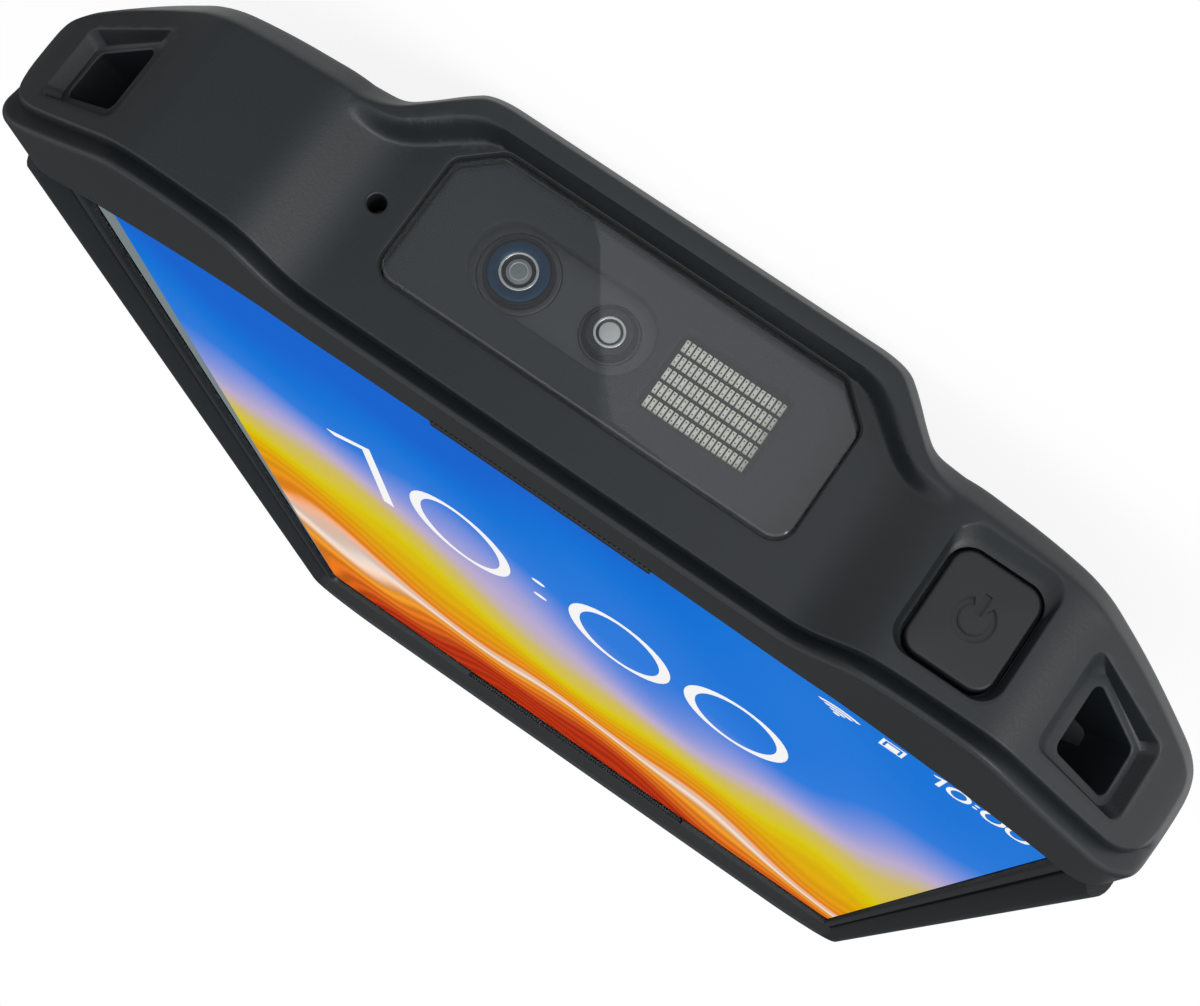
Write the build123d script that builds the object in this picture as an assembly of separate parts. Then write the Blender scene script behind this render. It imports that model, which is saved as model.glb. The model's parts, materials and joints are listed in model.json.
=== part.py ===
from build123d import *
import math
import os

# A rugged handheld data terminal with an imager scanner in its head, built as separate pieces.
# Millimetres. The device lies on its back: +Z out of the screen, +Y towards the scanner head,
# +X to the right of someone who faces the screen. The origin is under the middle of the body.

# ---- driving dimensions ----
length = 158.6          # over everything, bottom end to the crest of the head
half_width = 36.7       # half of the width over the bumpers
glass_z = 13.1          # height of the display glass over the rest plane
crest_y = length / 2    # top of the head's two wings
bottom_y = -length / 2  # bottom end
face_y = crest_y - 2.15 # plane of the scan window
view_half = 34.0        # half of the display opening
view_bottom = face_y - 146.2
view_top = face_y - 8.8

grip_half = 36.0        # half width between the bumpers, where the side keys are
grip_y = (face_y - 128, face_y - 45)
corner_r = 9.0          # bottom corners in plan

seam_y = face_y - 14.5  # head crown meets the body here
seam_z = glass_z - 7.0  # front frame meets the rear housing here
front_rise = 1.45       # how far the front frame stands over the glass
wall = 1.5              # moulded wall
gap = 0.15              # gap round keys and doors
shim = 0.05             # gap between fixed pieces

glass_t = 1.1
glass_half = 35.0
glass_top = face_y - 7.6
glass_bottom = view_bottom - 1.0
panel_half = 34.2
panel_t = 1.45
chassis_z = (glass_z - 3.6, glass_z - 2.7)
board_z = (glass_z - 4.6, glass_z - 3.8)

bump_half = 12.5        # flat of the scanner bump on the back
bump_root = 15.9
wing_back = 10.0        # depth of the wings' back under the glass face
valley_half = 15.2      # flat of the valley that holds the scan window
wing_inner = 18.5
wing_outer = 26.2
slope = math.tan(math.radians(38.2))   # fall of the wing shoulders
rim_height = 1.75       # bump rim over the window plane
step_drop = 0.5         # the terrace in front lies this far under the top face

window_half = (12.45, 10.35)           # half width, half width of the chamfered back edge
window_z = (glass_z - 10.9, glass_z - 9.05, glass_z - 1.84)
window_t = 1.2
gasket_w = 0.45

lens_z = glass_z - 6.5
imager_x = -6.65
aimer_x = -1.0
led_x = (2.2, 8.8)
led_z = (glass_z - 8.9, glass_z - 3.9)
mic_x, mic_z, mic_r = -14.25, glass_z - 4.9, 0.55

power_x, power_z = 22.0, glass_z - 3.85
power_size = (5.0, 6.0)

eyelet_x = (28.8, 32.5)
eyelet_z = ((glass_z - 5.5, glass_z - 1.3), (glass_z - 4.1, glass_z - 1.3))

scan_key_y = (face_y - 72, face_y - 50)
rocker_y = (face_y - 104, face_y - 84)
function_key_y = (face_y - 100, face_y - 88)
side_key_z = (glass_z - 5.2, glass_z - 1.9)
speaker_holes = [-24.5, -22.0, -19.5, -17.0, -14.5]

door_half = 23.5
door_y = (face_y - 144, face_y - 61)
door_z = (0.15, 1.35)
battery_half = 23.0
battery_y = (face_y - 141, face_y - 63.2)
battery_z = (1.6, glass_z - 4.2)
latch_x = 6.0

screw_r = 0.9
screw_head = (1.6, 1.0)
body_screws = [(x, face_y + y) for y in (-38, -96, -149.5) for x in (-27.5, 27.5)]
crown_screws = [(-21.5, face_y - 11), (21.5, face_y - 11)]

camera_x, camera_y = -20.5, face_y - 34
flash_x = camera_x + 8.2
port_half, port_z = 4.5, glass_z - 4.6
cover_half = 8.0
cover_z = (glass_z - 7.15, glass_z - 1.9)
cover_pivot = (bottom_y + 1.35, glass_z - 8.3)
pin_r = 0.5
door_pivot = (door_y[1] - 0.6, (door_z[0] + door_z[1]) / 2)
bay_y = bottom_y + 3.4  # inside of the thick bottom wall
dock_x = (-3.9, -1.3, 1.3, 3.9)
dock_y = face_y - 148.0


# ---- shape helpers ----
def outline(plane, *points):
    """A face on a plane from corners (u, v) or (u, v, radius), with true arcs at the rounded ones."""
    radii = [p[2] if len(p) > 2 else 0 for p in points]
    points = [Vector(p[0], p[1]) for p in points]
    count = len(points)
    starts, middles, ends = [], [], []
    for i, here in enumerate(points):
        back = (points[i - 1] - here).normalized()
        on = (points[(i + 1) % count] - here).normalized()
        half = math.radians(back.get_angle(on)) / 2
        reach = radii[i] / math.tan(half)
        sag = radii[i] / math.sin(half) - radii[i]
        starts.append(here + back * reach)
        ends.append(here + on * reach)
        middles.append(here + (back + on).normalized() * sag)
    edges = []
    for i in range(count):
        following = starts[(i + 1) % count]
        if radii[i]:
            edges.append(ThreePointArc(starts[i], middles[i], ends[i]))
        if (following - ends[i]).length > 1e-6:
            edges.append(Line(ends[i], following))
    return plane * make_face(Wire(edges))


def along_x(low, high, *points):
    """A prism along X. Its corners are (y, z)."""
    plane = Plane(origin=(low, 0, 0), x_dir=(0, 1, 0), z_dir=(1, 0, 0))
    return extrude(outline(plane, *points), high - low)


def along_y(low, high, *points):
    """A prism along Y. Its corners are (x, z)."""
    plane = Plane(origin=(0, high, 0), x_dir=(1, 0, 0), z_dir=(0, -1, 0))
    return extrude(outline(plane, *points), high - low)


def along_z(low, high, *points):
    """A prism along Z. Its corners are (x, y)."""
    return extrude(outline(Plane.XY.offset(low), *points), high - low)


def mirrored(*points):
    """Corners of the right half, followed by their mirror images on the left."""
    left = [(-p[0],) + tuple(p[1:]) for p in reversed(points)]
    return list(points) + left


def block(x, y, z):
    """A box from three (low, high) pairs."""
    size = (x[1] - x[0], y[1] - y[0], z[1] - z[0])
    return Pos((x[0] + x[1]) / 2, (y[0] + y[1]) / 2, (z[0] + z[1]) / 2) * Box(*size)


def corners(u, v, r):
    """The four rounded corners of a rectangle from two (low, high) pairs."""
    return [(u[1], v[1], r), (u[1], v[0], r), (u[0], v[0], r), (u[0], v[1], r)]


def tile(x, y, z, r):
    """A box with its four upright edges rounded."""
    return along_z(z[0], z[1], *corners(x, y, r))


def rod_x(x, y, z, r):
    return Pos((x[0] + x[1]) / 2, y, z) * Rot(0, 90, 0) * Cylinder(r, x[1] - x[0])


def rod_y(x, y, z, r):
    return Pos(x, (y[0] + y[1]) / 2, z) * Rot(90, 0, 0) * Cylinder(r, y[1] - y[0])


def rod_z(x, y, z, r):
    return Pos(x, y, (z[0] + z[1]) / 2) * Cylinder(r, z[1] - z[0])


def mirror_x(shape):
    return mirror(shape, Plane.YZ)


def both_sides(shape):
    return shape + mirror_x(shape)


def cut_plane(shape, a, b, c, away):
    """Takes off what lies beyond the plane through three points, on the side of the point away."""
    a, b, c, away = Vector(*a), Vector(*b), Vector(*c), Vector(*away)
    normal = (b - a).cross(c - a).normalized()
    if normal.dot(away - a) < 0:
        normal = normal * -1
    slab = Plane(origin=a, z_dir=normal) * Pos(0, 0, 100) * Box(200, 200, 200)
    return shape - slab


# ---- head crown ----
def wing_profile():
    """Outline of the head seen along Z."""
    fall = (half_width - wing_outer - 1.1) * slope
    return mirrored(
        (wing_outer, crest_y, 3.5),
        (half_width - 1.1, crest_y - fall, 1.2),
        (half_width, crest_y - fall - 2.2, 1.2),
        (half_width, seam_y),
    )


def wing_slab():
    """The two wings and what joins them, before the valley is cut."""
    section = mirrored(
        (15.5, glass_z + 1.95, 8),
        (20.0, glass_z + 1.55, 8),
        (34.9, glass_z + 1.55, 1.8),
        (half_width, glass_z - 0.4, 1.5),
        (half_width, glass_z - 4.3, 1.5),
        (35.9, glass_z - 6.2, 1.5),
        (26.8, glass_z - 9.4, 6),
        (bump_root, glass_z - wing_back),
    )
    slab = along_y(seam_y, crest_y + 3, *section) & along_z(0, 20, *wing_profile())
    low, crease, back = crest_y - 1.2, glass_z - 8.2, glass_z - 9.75
    slab = cut_plane(slab, (0, crest_y, crease), (24, crest_y, crease), (20, low, back), (0, crest_y + 5, 0))
    near = (27.1, crest_y - 0.7, glass_z - 7.55)
    far = (34.2, crest_y - 6.25, glass_z - 5.5)
    under = (31.1, crest_y - 5.1, glass_z - 8.0)
    beyond = (31, crest_y + 5, 0)
    slab = cut_plane(slab, near, far, under, beyond)
    flip = [(-p[0], p[1], p[2]) for p in (near, far, under, beyond)]
    return cut_plane(slab, *flip)


def scanner_bump():
    """The block on the back that gives the scan engine its depth."""
    top = face_y + rim_height
    section = mirrored(
        (bump_root, glass_z - 8.6),
        (bump_root, glass_z - wing_back),
        (bump_half, 0, 1.2),
    )
    bump = along_y(seam_y, top, *section)
    bump = cut_plane(bump, (0, top, 0.9), (9, top, 0.9), (0, top - 0.9, 0), (0, top + 5, 0))
    return bump


def valley():
    """What is cut from the slab so that the scan window lies low between the wings."""
    across = mirrored(
        (valley_half, face_y, 3.2),
        (wing_inner, crest_y, 2.6),
        (wing_inner + 4, crest_y + 0.01),
        (wing_inner + 4, crest_y + 6),
    )
    plan = mirrored(
        (40, glass_z + 6),
        (40, glass_z - 8.2),
        (18.6, glass_z - 8.4),
        (16.2, glass_z - 8.5, 1.5),
        (15.0, glass_z - 8.9, 1.5),
        (12.8, glass_z - 11.05, 1.2),
    )
    return along_z(0, 25, *across) & along_y(face_y - 5, crest_y + 8, *plan)


def wing_back_trim():
    """Carries the valley's fall on to the back between the wings and the bump."""
    across = mirrored(
        (valley_half, face_y + rim_height - 0.4, 3.2),
        (wing_inner, crest_y, 2.6),
        (wing_inner + 4, crest_y + 0.01),
        (wing_inner + 4, crest_y + 6),
    )
    return along_z(0, glass_z - 8.3, *across)


def terrace():
    """The step in front of the top face, from tip to tip."""
    fall = (half_width - wing_outer) * slope
    top = crest_y - step_drop
    across = mirrored(
        (valley_half, face_y - step_drop, 3.2),
        (wing_inner, top, 2.6),
        (wing_outer, top, 3.5),
        (half_width + 2, top - fall - 2 * slope),
        (half_width + 2, crest_y + 6),
    )
    plan = mirrored(
        (16.5, glass_z + 0.85, 3),
        (19.5, glass_z + 0.45, 3),
        (34.6, glass_z + 0.45, 0.8),
        (35.9, glass_z - 1.0),
        (45, glass_z - 1.0),
        (45, glass_z + 6),
    )
    return along_z(0, 25, *across) & along_y(seam_y, crest_y + 8, *plan)


def crown_cavity():
    """The hollow behind the head's walls."""
    y_low = seam_y - 1
    middle = along_y(y_low, face_y - 2.2, *mirrored(
        (26.0, glass_z - 0.1), (26.0, glass_z - 8.0), (14.2, glass_z - 8.5), (11.2, wall)))
    wings = both_sides(block((18.7, 26.0), (y_low, face_y + 0.4), (glass_z - 8.0, glass_z - 0.1)))
    skirt = along_y(y_low, glass_top - 0.6, *mirrored(
        (panel_half + 0.2, glass_z - 1.0), (panel_half + 0.2, glass_z - 5.0), (26.0, glass_z - 8.0)))
    half = panel_half + 0.2
    lower = block((-half, half), (y_low, seam_y + 2.0), (glass_z - 5.0, glass_z - 1.0))
    skirt &= block((-40, 40), (y_low, glass_top - 0.6), (glass_z - 3.0, glass_z))
    return middle + wings + skirt + lower


def eyelet_tunnel():
    """A strap passage: in at the wing's slope and out at its back."""
    (z0, z1), (z2, z3) = eyelet_z
    x0, x1 = eyelet_x
    shaft = along_y(face_y - 6.9, face_y + 4, (x0, z1, 0.5), (x1, z3, 0.5), (x1, z2, 0.5), (x0, z0, 0.5))
    back = tile((x0, x1), (face_y - 11.4, face_y - 6.4), (0, glass_z - 3.3), 0.6)
    elbow = block((x0, x1), (face_y - 11.4 + 0.6, face_y - 6.4), (z0, glass_z - 3.3))
    return shaft + back + elbow


def eyelet_bevel():
    """The funnel round an eyelet's mouth, square to the wing's slope."""
    x0, x1 = eyelet_x
    middle = (x0 + x1) / 2 + 0.1
    y = crest_y - (middle - wing_outer) * slope
    plane = Plane(origin=(middle, y + 0.02, glass_z - 3.4), x_dir=(1, -slope, 0), z_dir=(slope, 1, 0))
    mouth = outline(plane, (-3.9, -2.7, 0.6), (-3.9, 3.1, 0.6), (3.5, 1.5, 0.6), (3.5, -2.8, 0.6))
    deep = plane.offset(-1.3)
    throat = outline(deep, (-2.5, -1.9, 0.4), (-2.5, 2.2, 0.4), (2.4, 0.9, 0.4), (2.4, -1.9, 0.4))
    return loft([mouth, throat])


def window_outline(grow):
    """The chamfered window shape, grown outwards."""
    wide, narrow = window_half
    back, side, front = window_z
    return [
        (wide + grow, front + grow, 1.2 + grow),
        (wide + grow, side - 0.4 * grow, 0.9),
        (narrow + 0.4 * grow, back - grow, 0.9),
        (-narrow - 0.4 * grow, back - grow, 0.9),
        (-wide - grow, side - 0.4 * grow, 0.9),
        (-wide - grow, front + grow, 1.2 + grow),
    ]


def power_outline(grow):
    x, z = power_size[0] / 2 + grow, power_size[1] / 2 + grow
    return corners((power_x - x, power_x + x), (power_z - z, power_z + z), 1.1 + grow)


def lip_cut():
    """Opens the head's front wall over the display along a shallow arc, with the earpiece ledge left on."""
    reach, low = 60.0, face_y - 60
    dip = view_top - 4.7
    rim = [Line((-36, low), (-36, dip)), ThreePointArc((-36, dip), (0, view_top), (36, dip)),
           Line((36, dip), (36, low)), Line((36, low), (-36, low))]
    opening = extrude(Plane.XY.offset(glass_z) * make_face(Wire(rim)), reach)
    ledge = along_z(glass_z - 1, glass_z + 4, *mirrored((6.6, view_top + 2), (7.2, view_top - 1.5, 0.5)))
    return opening - ledge


def head_crown():
    slab = wing_slab() - valley() - wing_back_trim()
    crown = slab + scanner_bump()
    crown = crown - terrace()
    front = (0, view_top, glass_z + 1.25), (10, view_top, glass_z + 1.25), (0, face_y + 0.2, glass_z + 1.95)
    crown = cut_plane(crown, *front, (0, 0, glass_z + 20))
    crown = crown - crown_cavity()
    crown = crown - block((-glass_half - 0.1, glass_half + 0.1), (seam_y - 1, glass_top + 0.1),
                          (glass_z - glass_t - 0.1, glass_z + shim))
    crown = crown - lip_cut()
    crown = crown - along_y(face_y - window_t - 0.1, face_y + 4, *window_outline(gasket_w))
    crown = crown - along_y(face_y - 4, face_y, *window_outline(-0.9))
    crown = crown - rod_y(mic_x, (face_y - 4, face_y + 3), mic_z, mic_r)
    crown = crown - along_y(face_y - 2, crest_y + 3, *power_outline(gap))
    crown = crown - along_y(crest_y - 0.3, crest_y + 3, *power_outline(0.55))
    crown = crown - both_sides(eyelet_tunnel()) - both_sides(eyelet_bevel())
    crown = crown - block((-6, 6), (view_top - 3, glass_top + 0.6), (glass_z, glass_z + 0.5))
    for x, y in crown_screws:
        boss = rod_z(x, y, (1.0, chassis_z[0] - shim), 2.0) & slab
        crown = crown + boss
        crown = crown - rod_z(x, y, (0, glass_z - 3.4), screw_r + shim)
        crown = crown - rod_z(x, y, (0, glass_z - 8.6), screw_head[0] + 0.1)
    return crown


# ---- body shells ----
def body_blank():
    """The outer shape of the body, front frame and rear housing together."""
    step_low, step_high = grip_y
    plan = mirrored(
        (half_width, seam_y),
        (half_width, step_high + 3, 12),
        (grip_half, step_high - 3, 12),
        (grip_half, step_low + 3, 12),
        (half_width, step_low - 3, 12),
        (half_width, bottom_y, corner_r),
    )
    section = mirrored(
        (30.0, glass_z + front_rise, 10),
        (half_width, glass_z + 1.1, 1.1),
        (half_width, glass_z - 4.6, 3),
        (35.0, glass_z - 8.6, 5),
        (29.5, 0, 3),
    )
    profile = [
        (seam_y, glass_z + front_rise),
        (bottom_y, glass_z + front_rise, 2.0),
        (bottom_y, glass_z - 8.0, 4),
        (bottom_y + 5, 0, 4),
        (seam_y, 0),
    ]
    blank = along_z(-1, 20, *plan) & along_y(bottom_y - 1, seam_y, *section)
    return blank & along_x(-40, 40, *profile)


def cover_recess():
    """The pocket in the bottom end that takes the port cover and its hinge."""
    pocket = block((-cover_half - gap, cover_half + gap), (bottom_y - 1, bottom_y + 1.8),
                   (cover_z[0] - 0.9, cover_z[1] + gap))
    y, z = cover_pivot
    barrel = rod_x((-cover_half - gap, cover_half + gap), y, z, 1.15)
    mouth = block((-cover_half - gap, cover_half + gap), (bottom_y - 1, y), (z - 1.15, z))
    return pocket + barrel + mouth


def side_opening(y_range, ledge_x):
    """Opening for a side key in the right rail, with a wider step inside it."""
    y0, y1 = y_range[0] - gap, y_range[1] + gap
    z0, z1 = side_key_z[0] - gap, side_key_z[1] + gap
    slot = along_x(34, 38, *corners((y0, y1), (z0, z1), (z1 - z0) / 2 - 0.01))
    step = block((34, ledge_x), (y0 - 0.7, y1 + 0.7), (z0 - 0.5, z1 + 0.4))
    return slot + step


def front_frame():
    frame = body_blank() & block((-40, 40), (bottom_y - 1, seam_y), (seam_z, 20))
    frame -= block((-glass_half - 0.1, glass_half + 0.1), (glass_bottom - 0.1, seam_y + 1),
                   (glass_z - glass_t - shim, glass_z + shim))
    slope_in = mirrored((view_half + 0.4, glass_z + 3), (view_half, glass_z))
    sides = along_y(view_bottom - 3, seam_y + 1, *slope_in)
    end = along_x(-40, 40, (seam_y + 1, glass_z + 3), (seam_y + 1, glass_z), (view_bottom, glass_z),
                  (view_bottom - 1.6, glass_z + 3))
    frame -= sides & end
    frame -= block((-panel_half - 0.2, panel_half + 0.2), (glass_bottom + 0.6, seam_y + 1),
                   (seam_z - 1, glass_z - glass_t))
    frame -= tile((-31, 31), (bay_y, glass_bottom + 2), (seam_z - 1, glass_z - 0.7), 0.9)
    groove = block((-34.95, 34.95), (view_bottom - 1.3, seam_y + 1), (glass_z + 0.75, glass_z + 4))
    groove -= block((-34.7, 34.7), (view_bottom - 1.05, seam_y + 1), (glass_z, glass_z + 5))
    frame -= groove
    frame -= block((-14.7, 14.7), (view_bottom - 0.6, view_bottom + 1), (glass_z, glass_z + 0.55))
    for y_range in (scan_key_y, function_key_y):
        frame -= side_opening(y_range, 35.1)
    for y_range in (scan_key_y, rocker_y):
        frame -= mirror_x(side_opening(y_range, 35.1))
    for x, y in body_screws[4:]:
        frame += rod_z(x, y, (chassis_z[0], glass_z - 0.7), 2.2)
        frame -= rod_z(x, y, (0, glass_z - 1.2), screw_r)
    frame -= cover_recess()
    mouth = corners((-port_half - 0.3, port_half + 0.3), (port_z - 1.75, port_z + 1.75), 1.7)
    frame -= along_y(bottom_y - 1, bay_y + 1, *mouth)
    for x in speaker_holes:
        frame -= rod_y(x, (bottom_y - 1, bay_y + 1), port_z, 0.65)
    return frame


def seal_loop(grow):
    """The U-shaped cord seal in the joint between frame and rear housing."""
    def u_face(inset):
        x, y, r = 35.4 - inset, bottom_y + 2.2 + inset, corner_r - 2.2 - inset
        return [(x, seam_y + 1), (x, y, r), (-x, y, r), (-x, seam_y + 1)]
    high = seam_z
    loop = along_z(high - 0.5 - grow, high, *u_face(-grow)) - along_z(high - 1, high + 1, *u_face(0.5 + grow))
    return loop & block((-40, 40), (bottom_y, seam_y - shim + grow), (0, 20))


def rear_cavity():
    """The hollow of the rear housing, with the shallower stretch next to the head."""
    full = along_y(bottom_y, face_y - 28.5, *mirrored(
        (panel_half + 0.2, seam_z + 1), (panel_half + 0.2, seam_z),
        (33.2, glass_z - 9.2, 3), (28.4, wall, 2)))
    full &= along_x(-40, 40, (face_y, seam_z + 1), (bay_y, seam_z + 1), (bay_y, glass_z - 8.6, 2),
                    (bay_y + 3.6, wall, 2), (face_y, wall))
    shallow = along_y(face_y - 29, seam_y + 1, *mirrored(
        (panel_half + 0.2, seam_z + 1), (panel_half + 0.2, seam_z), (32.8, glass_z - 7.2),
        (26.0, glass_z - 8.0), (14.2, glass_z - 8.5), (11.2, wall)))
    return full + shallow


def stepped_hole(x, y, outer, inner):
    """A hole through the back wall with a ledge that a window is glued to."""
    return rod_z(x, y, (-1, 1.0), outer) + rod_z(x, y, (-1, 3), inner)


def rear_housing():
    below = block((-40, 40), (bottom_y - 1, seam_y), (-1, seam_z))
    ramp_foot, ramp_head = (face_y - 25.5, 0), (face_y - 16.5, 3.8)
    body = body_blank() & below
    body = cut_plane(body, (0, *ramp_foot), (9, *ramp_foot), (0, *ramp_head), (0, face_y, -9))
    section = mirrored(
        (half_width, glass_z),
        (half_width, glass_z - 4.3, 1.5),
        (35.9, glass_z - 6.2, 1.5),
        (26.8, glass_z - 9.4, 6),
        (bump_root, glass_z - wing_back),
        (bump_half, 0, 1.2),
    )
    neck = along_y(face_y - 30, seam_y, *section) & below
    shell = body + neck
    bosses = [rod_z(x, y, (0.5, chassis_z[0] - shim), 2.2) for x, y in body_screws]
    shell = shell - rear_cavity()
    for boss in bosses:
        shell += boss & body_blank()
    for x, y in body_screws:
        shell -= rod_z(x, y, (-1, 20), screw_r + shim)
        shell -= rod_z(x, y, (-1, 0.3 + screw_head[1]), screw_head[0] + 0.1)
    shell -= block((-door_half - gap, door_half + gap), (door_y[0] - gap, door_y[1] + gap), (-1, 3))
    y, z = door_pivot
    shell -= both_sides(rod_x((door_half, door_half + 1.7), y, z, pin_r + shim))
    shell -= block((-3.3, 3.3), (door_y[0] - 2.3, door_y[0]), (0.35, 1.1))
    shell -= seal_loop(shim)
    shell -= cover_recess()
    y, z = cover_pivot
    for x in ((4.1, cover_half - 0.1), (-cover_half + 0.1, -4.1)):
        knuckle = rod_x(x, y, z, 0.95) + block(x, (y, bottom_y + 2.2), (z - 0.95, z + 0.6))
        shell += knuckle
    shell -= rod_x((-9.5, 9.5), y, z, pin_r)
    shell -= stepped_hole(camera_x, camera_y, 4.7, 3.6)
    shell -= stepped_hole(flash_x, camera_y, 1.9, 1.2)
    for x in dock_x:
        shell -= rod_z(x, dock_y, (-1, 3), 0.75)
    return shell


# ---- display stack ----
def cover_glass():
    low, high = glass_bottom, glass_top
    glass = tile((-glass_half, glass_half), (low, high), (glass_z - glass_t, glass_z), 2.0)
    return chamfer(glass.faces().sort_by(Axis.Z)[-1].edges(), 0.25)


def display_panel():
    return tile((-panel_half, panel_half), (view_bottom - 0.2, face_y - 8.4),
                (glass_z - glass_t - panel_t, glass_z - glass_t), 0.8)


def midframe():
    plate = tile((-panel_half, panel_half), (view_bottom - 0.2, face_y - 15.0), chassis_z, 1.0)
    for x, y in body_screws:
        if y > view_bottom:
            plate -= rod_z(x, y, (0, 20), screw_r + shim)
    window = tile((-19, 19), (face_y - 136, face_y - 68), (0, 20), 4)
    for x, y in crown_screws:
        plate += tile((x - 3, x + 3), (face_y - 16, y + 3), chassis_z, 1.0)
        plate -= rod_z(x, y, (0, 20), screw_r + shim)
    return plate - window


# ---- scan window and engine ----
def scan_window():
    return along_y(face_y - window_t, face_y - 0.03, *window_outline(-0.02))


def window_gasket():
    ring = along_y(face_y - window_t - 0.1, face_y - 0.1, *window_outline(gasket_w))
    return ring - along_y(face_y - 3, face_y + 1, *window_outline(0))


def optics_baffle():
    """The black mask behind the window, with a stadium for the two lenses and a pocket for the emitters."""
    mask = along_y(face_y - 1.9, face_y - window_t - 0.15, *window_outline(-1.0))
    lenses = corners((imager_x - 2.6, aimer_x + 2.4), (lens_z - 2.3, lens_z + 2.3), 2.2)
    for hole in (lenses, corners(led_x, led_z, 0.5)):
        mask -= along_y(face_y - 3, face_y, *hole)
    return mask


def engine_chassis():
    chassis = block((-10.8, 10.8), (face_y - 13.5, face_y - 2.3), (glass_z - 10.2, glass_z - 3.0))
    chassis -= rod_y(imager_x, (face_y - 9.1, face_y), lens_z, 2.25)
    chassis -= rod_y(aimer_x, (face_y - 6.1, face_y), lens_z, 1.65)
    pocket_x, pocket_z = (led_x[0] - 0.1, led_x[1] + 0.1), (led_z[0] - 0.1, led_z[1] + 0.1)
    return chassis - block(pocket_x, (face_y - 3.6, face_y), pocket_z)


def lens_barrel(x, r, bore, depth):
    barrel = rod_y(x, (face_y - depth, face_y - 1.6), lens_z, r)
    return barrel - rod_y(x, (face_y - depth + 1, face_y), lens_z, bore)


def imager_barrel():
    return lens_barrel(imager_x, 2.2, 1.5, 9)


def aimer_barrel():
    return lens_barrel(aimer_x, 1.6, 1.1, 6)


def lens(x, r, high):
    """A plano-convex lens that bulges towards the window."""
    disc = rod_y(x, (high - 1.4, high), lens_z, r - 0.01)
    dome = Pos(x, high - 3 * r, lens_z) * Sphere(3 * r)
    return disc & dome


def imager_lens():
    return lens(imager_x, 1.5, face_y - 1.9)


def aimer_lens():
    return lens(aimer_x, 1.1, face_y - 1.9)


def led_board():
    return block(led_x, (face_y - 3.6, face_y - 2.9), led_z)


def led_rows():
    """Five strips of emitters side by side on their board."""
    rows = None
    pitch = 0.86
    for i in range(5):
        z = (led_z[0] + led_z[1]) / 2 + (i - 2) * pitch
        row = block((led_x[0] + 0.3, led_x[1] - 0.3), (face_y - 2.9, face_y - 2.5), (z - 0.31, z + 0.31))
        rows = row if rows is None else rows + row
    return rows


# ---- head electronics ----
def top_microphone():
    can = rod_y(mic_x, (face_y - 3.6, face_y - 2.2), mic_z, 1.6)
    return can - rod_y(mic_x, (face_y - 2.8, face_y), mic_z, 0.4)


def earpiece():
    return tile((-6.5, 6.5), (face_y - 6.8, face_y - 2.4), (glass_z - 2.7, glass_z - 0.15), 1.5)


def earpiece_mesh():
    return block((-5.9, 5.9), (glass_top + 0.15, glass_top + 0.4), (glass_z + 0.08, glass_z + 0.45))


def power_key():
    cap = along_y(face_y + 0.3, crest_y - 0.35, *power_outline(0))
    rim = [e for e in cap.edges() if e.center().Y > crest_y - 0.36]
    cap = fillet(rim, 0.35)
    flange = along_y(face_y - 0.15, face_y + 0.3, *power_outline(0.5))
    stem = rod_y(power_x, (face_y - 0.9, face_y - 0.15), power_z, 1.2)
    return cap + flange + stem


def power_switch():
    plate = block((17.4, 26.0), (face_y - 3.6, face_y - 3.1), (power_z - 2.2, power_z + 2.2))
    dome = rod_y(power_x, (face_y - 3.1, face_y - 1.25), power_z, 1.6)
    return plate + dome


# ---- side keys ----
def side_key(y_range):
    """The cap of a key on the right side."""
    z0, z1 = side_key_z
    cap = along_x(34.65, grip_half + 0.55, *corners(y_range, side_key_z, (z1 - z0) / 2 - 0.01))
    rim = [e for e in cap.edges() if e.center().X > grip_half + 0.54]
    return fillet(rim, 0.3)


def flange(y0, y1):
    """The thin plate behind a cap that keeps it from falling out."""
    return block((34.65, 34.95), (y0, y1), (side_key_z[0] - 0.45, side_key_z[1] + 0.35))


def nub(y):
    """The stub of a key that presses its switch."""
    return block((33.9, 34.65), (y - 1.2, y + 1.2), (side_key_z[0] + 0.1, side_key_z[0] + 1.2))


def right_scan_key():
    y0, y1 = scan_key_y
    return side_key(scan_key_y) + flange(y0 - 0.5, y1 + 0.5) + nub((y0 + y1) / 2)


def left_scan_key():
    return mirror_x(right_scan_key())


def function_key():
    y0, y1 = function_key_y
    return side_key(function_key_y) + flange(y0 - 0.5, y1 + 0.5) + nub((y0 + y1) / 2)


def volume_rocker():
    y0, y1 = rocker_y
    middle = (y0 + y1) / 2
    key = side_key(rocker_y) + flange(middle - 2.5, middle + 2.5)
    return mirror_x(key + nub(y0 + 2.4) + nub(y1 - 2.4))


def switch_block(y):
    return block((32.5, 33.5), (y - 1.8, y + 1.8), (side_key_z[0] + 0.05, side_key_z[0] + 1.3))


def side_switches():
    scan = (scan_key_y[0] + scan_key_y[1]) / 2
    function = (function_key_y[0] + function_key_y[1]) / 2
    right = switch_block(scan) + switch_block(function)
    left = switch_block(scan) + switch_block(rocker_y[0] + 2.4) + switch_block(rocker_y[1] - 2.4)
    return right + mirror_x(left)


def key_flex():
    y_range = (rocker_y[0] - 1, scan_key_y[1] - 6)
    return both_sides(block((32.25, 32.5), y_range, (side_key_z[0] - 0.2, chassis_z[0])))


# ---- boards ----
def main_board():
    board = tile((-31.5, 31.5), (face_y - 59, face_y - 16.5), board_z, 2)
    for x, y in body_screws[:2]:
        board -= rod_z(x, y, (0, 20), 2.4)
    return board


def board_shield():
    low = board_z[0] - 1.5
    can = block((-8, 22), (face_y - 56, face_y - 30), (low, board_z[0]))
    return can - block((-7.8, 21.8), (face_y - 55.8, face_y - 30.2), (low + 0.2, board_z[0]))


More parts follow.
